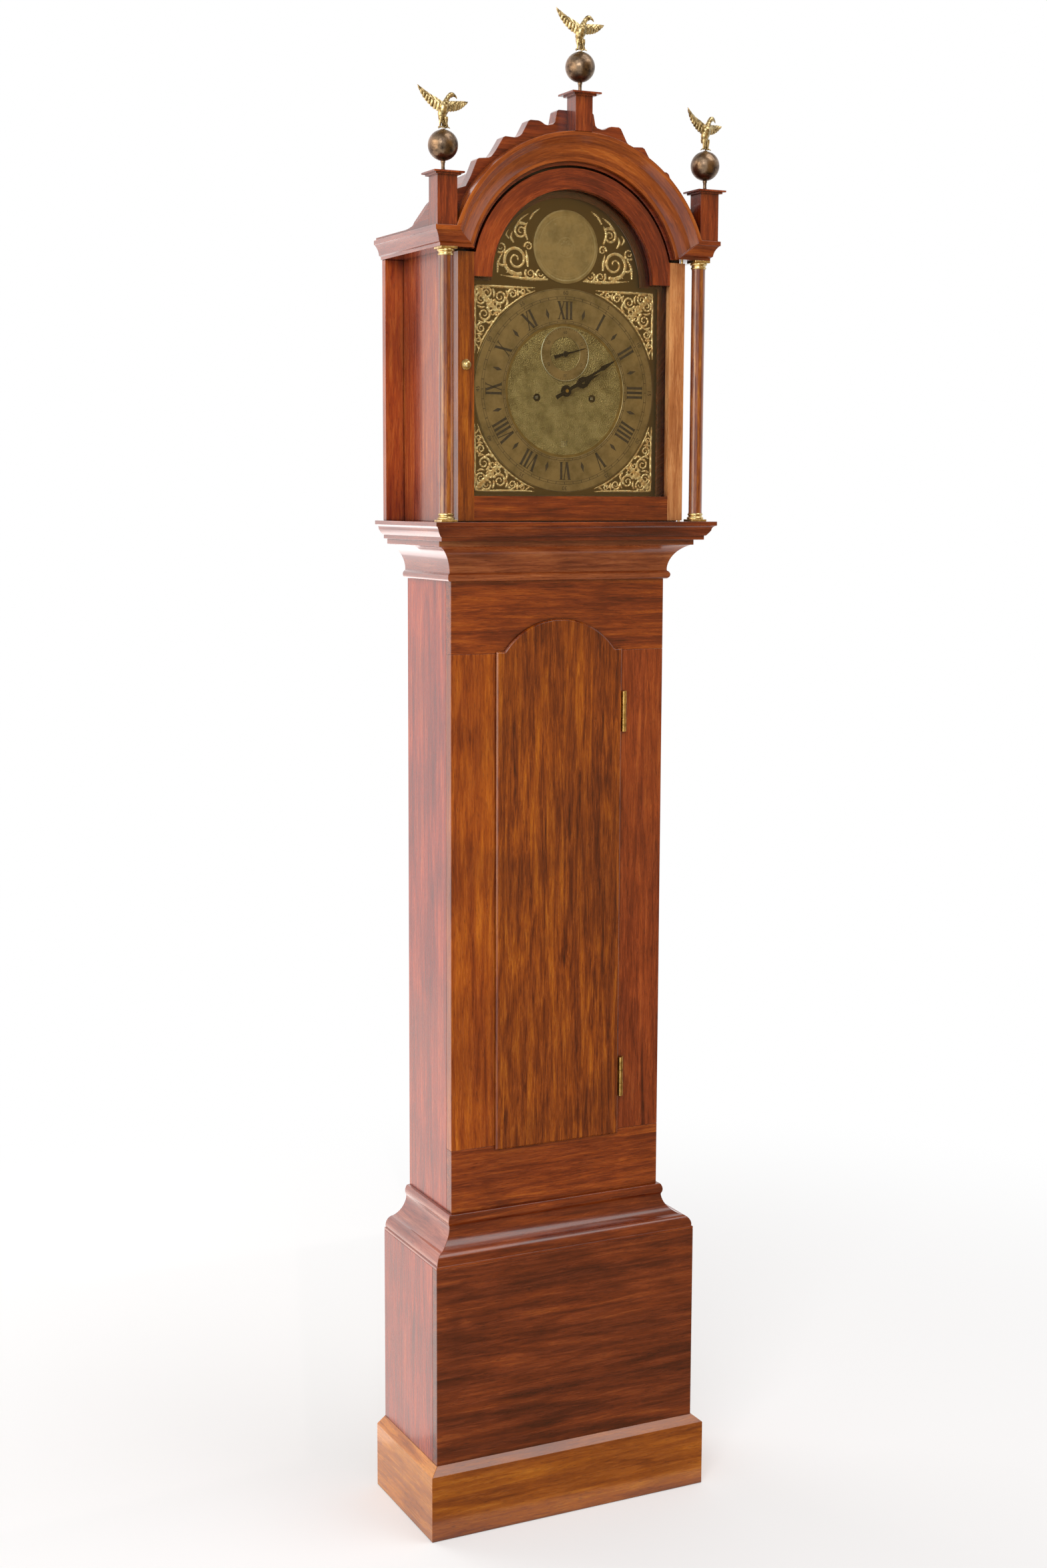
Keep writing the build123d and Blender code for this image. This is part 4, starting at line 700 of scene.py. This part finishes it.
def relief(heights, xs, zs, back, rise):
    """A pierced casting over a grid: its front stands off the back plane by height times rise, a cell is kept
    where all four corners are raised, and walls close the edges."""
    up = heights > 0
    keep = up[:-1, :-1] & up[1:, :-1] & up[:-1, 1:] & up[1:, 1:]
    x, z = np.meshgrid(xs, zs)
    layers = [np.stack([x, back - rise * heights, z], -1), np.stack([x, np.full_like(x, back), z], -1)]
    points = np.concatenate([layer.reshape(-1, 3) for layer in layers])
    n = heights.size
    numbers = np.arange(n).reshape(heights.shape)
    tops = np.stack([numbers[:-1, :-1], numbers[:-1, 1:], numbers[1:, 1:], numbers[1:, :-1]], -1)[keep]
    edges = np.concatenate([tops[:, [i, (i + 1) % 4]] for i in range(4)])
    unique, first, count = np.unique(np.sort(edges, 1), axis=0, return_index=True, return_counts=True)
    rim = edges[first[count == 1]]
    walls = np.column_stack([rim[:, 1], rim[:, 0], rim[:, 0] + n, rim[:, 1] + n])
    faces = np.concatenate([tops, tops[:, ::-1] + n, walls])
    used, back_to = np.unique(faces, return_inverse=True)
    return points[used], back_to.reshape(-1, 4).tolist()


def beads(x, z, curves):
    """Height of a field of rounded strokes: along each curve of x, z and half-width w, the square root of
    1 - (distance / w) squared, with leaf veins cut across it; the highest stroke wins."""
    heights = np.zeros(x.shape)
    for curve in curves:
        near = np.hypot(x[..., None] - curve[:, 0], z[..., None] - curve[:, 1]) / curve[:, 2]
        best = near.min(-1)
        along = near.argmin(-1)
        height = np.sqrt(np.clip(1 - best**2, 0, 1)) * (0.82 + 0.18 * np.cos(along * 1.1))
        heights = np.maximum(heights, height)
    return heights


def curl(x, z, start, turns, outer, inner, width, tip):
    """A spiral about x, z from an angle in degrees, through turns, as its radius and half-width shrink."""
    t = np.linspace(0, 1, 70)
    angle = np.radians(start) + 2 * np.pi * turns * t
    radius = outer + (inner - outer) * t
    return np.column_stack([x + radius * np.cos(angle), z + radius * np.sin(angle), width + (tip - width) * t])


def leaf(points, width, tip):
    """A stroke through points that swells to its half-width in its first third and tapers to its tip."""
    line = smooth_line(points, 50)
    t = np.linspace(0, 1, 50)
    return np.column_stack([line, tip + (width - tip) * np.sin(np.pi * np.clip(t * 0.85 + 0.15, 0, 1))])


corner_half = [leaf([(5, 2.8), (28, 2.6), (52, 2.8), (76, 2.6), (97, 2.0)], 2.3, 1.2),
               leaf([(41, 41), (53, 31.5), (66, 22.5), (80, 13.5), (97, 6.6)], 2.2, 1.2),
               leaf([(4, 4), (14, 14), (26, 26), (39, 39)], 4.6, 1.6), curl(21, 12, 200, 1.5, 8.5, 2.0, 2.3, 1.2),
               curl(42, 17, 150, -1.5, 10.0, 2.0, 2.5, 1.2), curl(62, 12, 190, 1.4, 7.0, 1.7, 2.2, 1.1),
               curl(78, 7.6, 170, -1.2, 4.2, 1.4, 1.7, 1.0), curl(40, 31, 60, 1.2, 5.5, 1.6, 2.0, 1.1),
               leaf([(28, 21), (31, 27), (30, 35)], 2.4, 1.0), leaf([(52, 19), (54, 25), (50, 30)], 2.2, 1.0),
               leaf([(31, 7), (33, 12), (32, 18)], 2.2, 1.0), leaf([(52, 8), (54, 13), (53, 18)], 2.1, 1.0),
               leaf([(70, 6), (71, 11), (70, 15)], 2.0, 1.0), leaf([(84, 4), (87, 6.5), (90, 7)], 1.8, 1.0),
               leaf([(9, 6), (13, 9), (15, 15)], 2.2, 1.0)]
corner_curves = corner_half + [curve[:, [1, 0, 2]] for curve in corner_half]
cell, mount_rise = 0.8, 2.6
steps = np.arange(0, 98.4, cell)
p, q = np.meshgrid(steps, steps)
heights = beads(p, q, corner_curves) * (np.hypot(dial_half - p, dial_half - q) > ring_radius + 1.5)
castings = [relief(heights, side * (dial_half - steps), dial_z + way * (dial_half - steps), dial_front, mount_rise)
            for side in (-1, 1) for way in (-1, 1)]
flank = [curl(80, 31, 250, 1.8, 21, 3, 3.4, 1.4), curl(72, 71, 120, -1.6, 11.5, 2.2, 2.7, 1.2),
         curl(41, 12.5, 200, 1.5, 8.5, 1.8, 2.3, 1.1), curl(104, 47, 300, -1.3, 8, 1.8, 2.2, 1.0),
         curl(60, 50, 0, 1.2, 6.5, 1.6, 2.1, 1.0), curl(57, 12, 30, -1.4, 8.5, 1.8, 2.3, 1.0),
         leaf([(30, 5), (50, 4.6), (75, 5.2), (104, 8)], 2.7, 0.9),
         leaf([(109, 12), (108, 27), (100, 40)], 2.5, 0.9),
         leaf([(61, 22), (62, 34), (64, 44)], 2.6, 0.9), leaf([(62, 60), (66, 72), (62, 84)], 2.4, 0.9),
         leaf([(84, 55), (88, 62), (86, 70)], 2.4, 0.9), leaf([(95, 22), (103, 22), (110, 26)], 2.2, 0.8),
         leaf([(58, 88), (52, 97), (42, 104)], 2.4, 0.8), leaf([(78, 82), (70, 90), (60, 96)], 2.2, 0.8),
         leaf([(92, 60), (96, 66), (92, 72)], 2.1, 0.8), leaf([(80, 12), (88, 14), (95, 12)], 2.2, 0.8)]
xs, zs = np.arange(18, 119, cell), np.arange(2, 112, cell)
x, z = np.meshgrid(xs, zs)
arch_seat = arch_z - dial_z
heights = beads(x, z, flank) * (np.hypot(x, z) < 118) * (np.hypot(x, z + arch_seat - boss_rise) > 54.5)
castings += [relief(heights, side * xs, arch_z + zs, dial_front, mount_rise) for side in (-1, 1)]
spandrel_brass = metal("brass_cast_lacquered", "#ffe0aa", "#e2ac6c", 0.2, 7, 0.12, 1.4)
feed(spandrel_brass.node_tree.nodes["Principled BSDF"], {"Metallic": 0.6})
piece("cast_scroll_mounts", joined(castings), spandrel_brass, "case", ["dial_spandrels"], 60)

boss_radii = np.concatenate([np.linspace(0.5, 46.5, 60), [47, 48, 50, 51.6, 52, 52]])
around = 192
turn = np.linspace(0, 2 * np.pi, around, endpoint=False)
radius, angle = np.meshgrid(boss_radii, turn, indexing="ij")
petals = np.abs(np.cos(6 * angle)) * 15 + 22
cut = (np.exp(-((radius - petals) / 0.7) ** 2) + np.exp(-((radius - 43) / 0.5) ** 2)
       + np.exp(-((radius - 14) / 0.5) ** 2) + np.exp(-((radius - 6 - 4 * np.abs(np.sin(4 * angle))) / 0.5) ** 2))
rim = 0.7 * np.exp(-((radius - 49.3) / 1.6) ** 4)
dome = 1.0 + 0.5 * (1 - (radius / 52) ** 2)
stand_off = dome + rim - 0.35 * np.clip(cut, 0, 1)
stand_off[-1] = 0
points = np.stack([radius * np.sin(angle), dial_front - stand_off, radius * np.cos(angle)], -1).reshape(-1, 3)
last = (len(boss_radii) - 1) * around
boss = (points + (0, 0, dial_z + boss_rise), quads(len(boss_radii), around).tolist()
        + [list(range(around)), list(range(last, last + around))])
piece("engraved_arch_boss", boss, boss_silver, "case", ["dial_rings"], 60)


# Hands: pierced from sheet steel, filed thinner to their tips, polished and heated until they turn blue, so
# deep that they look black with a cold gleam.

blued = metal("steel_filed_blued", "#1a1820", "#0a090d", 0.24, 20)
eased("minute_hand", "minute_hand", [blued], 0.25)
eased("hour_hand", "hour_hand", [blued], 0.25)
pointer = [(-1.5, 0), (-0.5, 34), (0.5, 34), (1.5, 0)]
tail = [(-1.4, 0), (-2.6, -19), (2.6, -19), (1.4, 0)]
blades = clockwise([pointer, tail], 75) + seconds_place[1:]
collar = turned([(0, dial_front - 3.6), (3.4, dial_front - 3.4), (4, dial_front - 2.9), (4, dial_front - 2),
                 (0, dial_front - 2)], seconds_place, 32, lying=True)
piece("seconds_pointer", joined([upright_prisms(blades, dial_front - 2.8, 0.8), collar]), blued, "escape_wheel",
      ["seconds_hand"])


# Movement: cast brass plates held apart by turned pillars, with brass wheels between them that keep the teeth
# cut in the CAD. Dried gut, yellow and a little shiny, is wound on two brass barrels, and their steel arbors
# end in squares for the key.

movement_brass = metal("brass_cast_hammered", "#c8a458", "#8f7138", 0.3, 14, 0.03, 2)
steel = metal("steel_turned_polished", "#a9a7a2", "#6f6c68", 0.28, 10)
for node in ("front_plate", "back_plate", "plate_pillars", "back_cock", "going_great_wheel", "strike_great_wheel",
             "centre_wheel", "third_wheel", "escape_wheel", "minute_wheel", "hour_wheel", "pin_wheel"):
    finish_node(node, movement_brass)
for node in ("bell_stand", "hammer", "anchor", "pendulum"):
    finish_node(node, steel)

gut, tree, shader = surface("gut_twisted_dried")
strand = add_node(tree, "TexWave", {"Vector": add_node(tree, "TexCoord", out="Object"), "Scale": 220,
                                    "Distortion": 1.0}, bands_direction="DIAGONAL")
tint = add_node(tree, "ValToRGB", {0: strand}, ((0.2, "#7c5a2e"), (0.8, "#b08d57")))
feed(shader, {"Base Color": tint, "Roughness": 0.45})
gut_turns, gut_radius, barrel_x, barrel_z, drum_start = 15, 0.8, 45, dial_z - 10, trunk_front + 40.5
turn = np.linspace(0, 2 * np.pi * gut_turns, gut_turns * 36)
for side, name in ((1, "going"), (-1, "strike")):
    arbor_x = side * barrel_x
    eased(f"{name}_barrel", f"{name}_barrel", [movement_brass, steel], 0.3,
          lay=lambda p: np.hypot(p[:, 0] - arbor_x, p[:, 2] - barrel_z) < 3.2)
    coil = np.column_stack([arbor_x + 24.8 * np.cos(turn), drum_start + 29 * turn / turn[-1],
                            barrel_z + 24.8 * np.sin(turn)])
    piece(f"{name}_wound_gut", tube(coil, np.full(len(coil), gut_radius), 6), gut, f"{name}_barrel")


# Bell: cast in bell metal, thin at the shoulder and thick at the lip, and turned inside and out. It stands
# mouth down on an iron stud above the movement.

bell_y, bell_low = trunk_front + 58, dial_z + 116
bell_outside = smooth_line([(50, 0), (49.2, 3), (47.5, 12), (42.8, 24), (33, 33), (18, 38.6), (5, 40)], 30)
bell_inside = smooth_line([(5, 37.5), (17, 36.2), (31, 30.8), (40.2, 22.4), (45, 12), (46.8, 3), (47.4, 0)], 30)
bell_metal = metal("bell_metal_cast_turned", "#cbb083", "#8b744c", 0.25, 24, 0.02)
piece("bell_casting", turned(np.vstack([bell_outside, bell_inside]), (0, bell_y, bell_low), 72, loop=True),
      bell_metal, "case", ["bell"])


# Pendulum: a flat steel rod on a thin spring, with a lens bob of lead cased in spun sheet brass, which shines
# the most of all the brass, and a rating nut.

pendulum_y, bob_z = trunk_front + 110, 1784.7 - 994
bob_edge = smooth_line([(0, 13), (14, 12.5), (30, 10.2), (44, 5.9), (51, 2.4), (52, 0)], 28)
bob_shape = np.vstack([bob_edge, bob_edge[-2::-1] * (1, -1)]) + (0, pendulum_y)
bob_brass = metal("brass_sheet_spun", "#d2ab5e", "#94733a", 0.22, 40)
piece("pendulum_lens", turned(bob_shape, (0, 0, bob_z), 72, lying=True), bob_brass, "pendulum",
      ["pendulum_bob"])


# Weights and lines: two cylinders of dull grey cast lead, each hanging from a brass pulley that rides in a loop
# of gut. One end of the gut winds on a barrel and the other is knotted under the seatboard.

line_y, line_x, fixed_x, cheek_top, pulley_z = trunk_front + 54.5, 69.8, 25.0, 1613.0, 400.0
lead = metal("lead_cast", "#8b8a88", "#5c5a57", 0.5, 18, 0.2, 4)
feed(lead.node_tree.nodes["Principled BSDF"], {"Metallic": 0.9})
for side, name in ((1, "going"), (-1, "strike")):
    x, top = side * 47.4, pulley_z - 62
    body = [(0, top - 165), (28.5, top - 165), (29.7, top - 164), (30, top - 162), (30, top - 5), (28.5, top - 2),
            (24, top), (0, top)]
    hook = [(0, top), (2.5, top), (2.5, pulley_z - 29), (0, pulley_z - 29)]
    piece(f"{name}_lead_weight", joined([turned(body, (x, line_y, 0), 56), turned(hook, (x, line_y, 0), 20)]),
          lead, f"{name}_weight")
    groove = [(0, -4), (24.2, -4), (24.2, -3.4), (21.8, -0.9), (21.6, 0), (21.8, 0.9), (24.2, 3.4), (24.2, 4),
              (0, 4)]
    sheave = turned([(r, line_y + h) for r, h in groove], (x, 0, pulley_z), 56, lying=True)
    axle = turned([(0, line_y - 8.5), (2.2, line_y - 8.5), (2.2, line_y + 8.5), (0, line_y + 8.5)],
                  (x, 0, pulley_z), 20, lying=True)
    stirrup = [slab_box((x - 5, line_y + y - 1, pulley_z - 29), (x + 5, line_y + y + 1, pulley_z + 5))
               for y in (-6, 6)]
    bridge = slab_box((x - 5.5, line_y - 7, pulley_z - 30), (x + 5.5, line_y + 7, pulley_z - 27))
    turn = np.radians(np.linspace(180, 360, 40))
    path = np.column_stack([x + 22.4 * np.cos(turn), np.full(40, line_y), pulley_z + 22.4 * np.sin(turn)])
    piece(f"{name}_pulley", joined([sheave, axle, bridge, *stirrup]), worn_brass, f"{name}_weight",
          [f"{name}_weight"])
    piece(f"{name}_line_turn", tube(path, np.full(40, gut_radius), 8), gut, f"{name}_weight")
    falls = [turned([(0, pulley_z), (gut_radius, pulley_z), (gut_radius, cheek_top), (0, cheek_top)],
                    (side * fall, line_y, 0), 8) for fall in (line_x, fixed_x)]
    drawn = piece(f"{name}_gut_falls", joined(falls), gut, "case", [f"{name}_line"])
    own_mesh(drawn)
finish_node("gut_ends", gut)


# Studio: a white sweep with soft light from the left and above. Sheets that only gloss sees stand for the
# rest of the room: a dim warm half in front and overhead, so that fronts look deep, and windows on the left.

scene = bpy.context.scene
scene.view_settings.view_transform = "Standard"


def area_light(name, place, aim, size, power):
    """A square soft light at a place, turned so that its -Z looks at the aim."""
    light = bpy.data.lights.new(name, "AREA")
    light.shape, light.size, light.energy = "SQUARE", size, power
    lamp = bpy.data.objects.new(name, light)
    lamp.location = place
    lamp.rotation_euler = (Vector(aim) - Vector(place)).to_track_quat("-Z", "Y").to_euler()
    lamp.visible_camera = False
    bpy.context.collection.objects.link(lamp)
    return lamp


area_light("key_light", (-2.4, -3.2, 3.6), (0, 0, 1.1), 2.2, 95)
area_light("left_light", (-2.0, 3.0, 1.4), (0, 0, 1.1), 2.6, 62).visible_glossy = False
area_light("top_light", (1.2, -1.0, 4.2), (0, 0, 1.2), 2.0, 45)


def looked_at(tree):
    """1 for rays that see the sweep from the camera, in a reflection or through glass, 0 for light's own rays."""
    rays = add_node(tree, "LightPath").node.outputs
    seen = add_node(tree, "Math", {0: rays["Is Camera Ray"], 1: rays["Is Glossy Ray"]}, operation="MAXIMUM")
    return add_node(tree, "Math", {0: seen, 1: rays["Is Transmission Ray"]}, operation="MAXIMUM")


world = bpy.data.worlds.new("white studio")
scene.world = world
world.use_nodes = True
tree = world.node_tree
level = add_node(tree, "MapRange", {0: looked_at(tree), 3: 0.55, 4: 1.0})
feed(tree.nodes["Background"], {"Strength": level, "Color": (1, 1, 1, 1)})


def stage_plane(name, corners, material):
    """A flat sheet of the studio through four corners, not part of the clock."""
    mesh = bpy.data.meshes.new(name)
    mesh.from_pydata(corners, [], [(0, 1, 2, 3)])
    mesh.materials.append(material)
    sheet = bpy.data.objects.new(name, mesh)
    bpy.context.collection.objects.link(sheet)
    return sheet


paper, tree, shader = surface("paper_white_sweep")
feed(shader, {"Base Color": to_linear("#f6f4f3"), "Roughness": 0.9, "Specular IOR Level": 0.1})
away = add_node(tree, "VectorMath", {0: add_node(tree, "TexCoord", out="Object")}, out="Value", operation="LENGTH")
fade = add_node(tree, "MapRange", {0: away, 1: 0.6, 2: 2.2, 3: 0.25, 4: 1.0}, interpolation_type="SMOOTHSTEP")
amount = add_node(tree, "Math", {0: fade, 1: looked_at(tree)}, operation="MULTIPLY")
glow = add_node(tree, "Emission", {"Color": (1, 1, 1, 1), "Strength": 1.0})
mixed = add_node(tree, "MixShader", {0: amount, 1: shader.outputs[0], 2: glow})
feed(tree.nodes["Material Output"], {"Surface": mixed})
stage_plane("floor", [(-12, -12, -0.0005), (12, -12, -0.0005), (12, 12, -0.0005), (-12, 12, -0.0005)], paper)

for name, corners, colour, strength in (
        ("room_wall", [(-1.0, -5.9, 0), (4.8, -3.0, 0), (4.8, -3.0, 5.6), (-1.0, -5.9, 5.6)], "#ffd69a", 0.55),
        ("room_floor", [(-0.3, -0.16, 0), (1.6, -0.1, 0), (4.8, -3.0, 0), (-1.0, -5.9, 0)], "#ffd69a", 0.4),
        ("room_ceiling", [(-1.5, -4, 5.6), (4.8, -4, 5.6), (4.8, 2.4, 5.6), (-1.5, 2.4, 5.6)], "#ffd69a", 0.3),
        ("window_wall", [(-4.6, 1.2, 0), (1.4, 5.2, 0), (1.4, 5.2, 5.0), (-4.6, 1.2, 5.0)], "#fff4f2", 1.5),
        ("window_floor", [(-0.3, 0.25, 0), (-2.2, 0.1, 0), (-4.6, 1.2, 0), (1.4, 5.2, 0)], "#fff0ea", 1.75),
        ("window_path", [(-0.45, 1.2, 0.001), (-0.95, 3.63, 0.001), (1.4, 5.2, 0.001), (0.3, 1.2, 0.001)],
         "#fff4f2", 2.6),
        ("window_tall", [(-4.0, -2.1, 0.2), (-4.0, 2.4, 0.2), (-4.0, 2.4, 4.0), (-4.0, -2.1, 4.0)], "#fff0dc",
         4.5)):
    glowing, tree, shader = surface(name)
    glow = add_node(tree, "Emission", {"Color": to_linear(colour), "Strength": strength})
    feed(tree.nodes["Material Output"], {"Surface": glow})
    sheet = stage_plane(name, corners, glowing)
    sheet.visible_camera = sheet.visible_diffuse = sheet.visible_shadow = sheet.visible_transmission = False

lens = bpy.data.cameras.new("camera")
lens.sensor_fit, lens.sensor_width, lens.sensor_height, lens.lens = "AUTO", 36, 36, 49.79
camera = bpy.data.objects.new("camera", lens)
yaw, pitch, roll = np.radians(26.03), np.radians(-7.59), np.radians(0.21)
camera.matrix_world = (Matrix.Translation((-1.4586, -2.90875, 1.5532)) @ Matrix.Rotation(-yaw, 4, "Z")
                       @ Matrix.Rotation(np.pi / 2 + pitch, 4, "X") @ Matrix.Rotation(roll, 4, "Z"))
bpy.context.collection.objects.link(camera)
scene.camera = camera
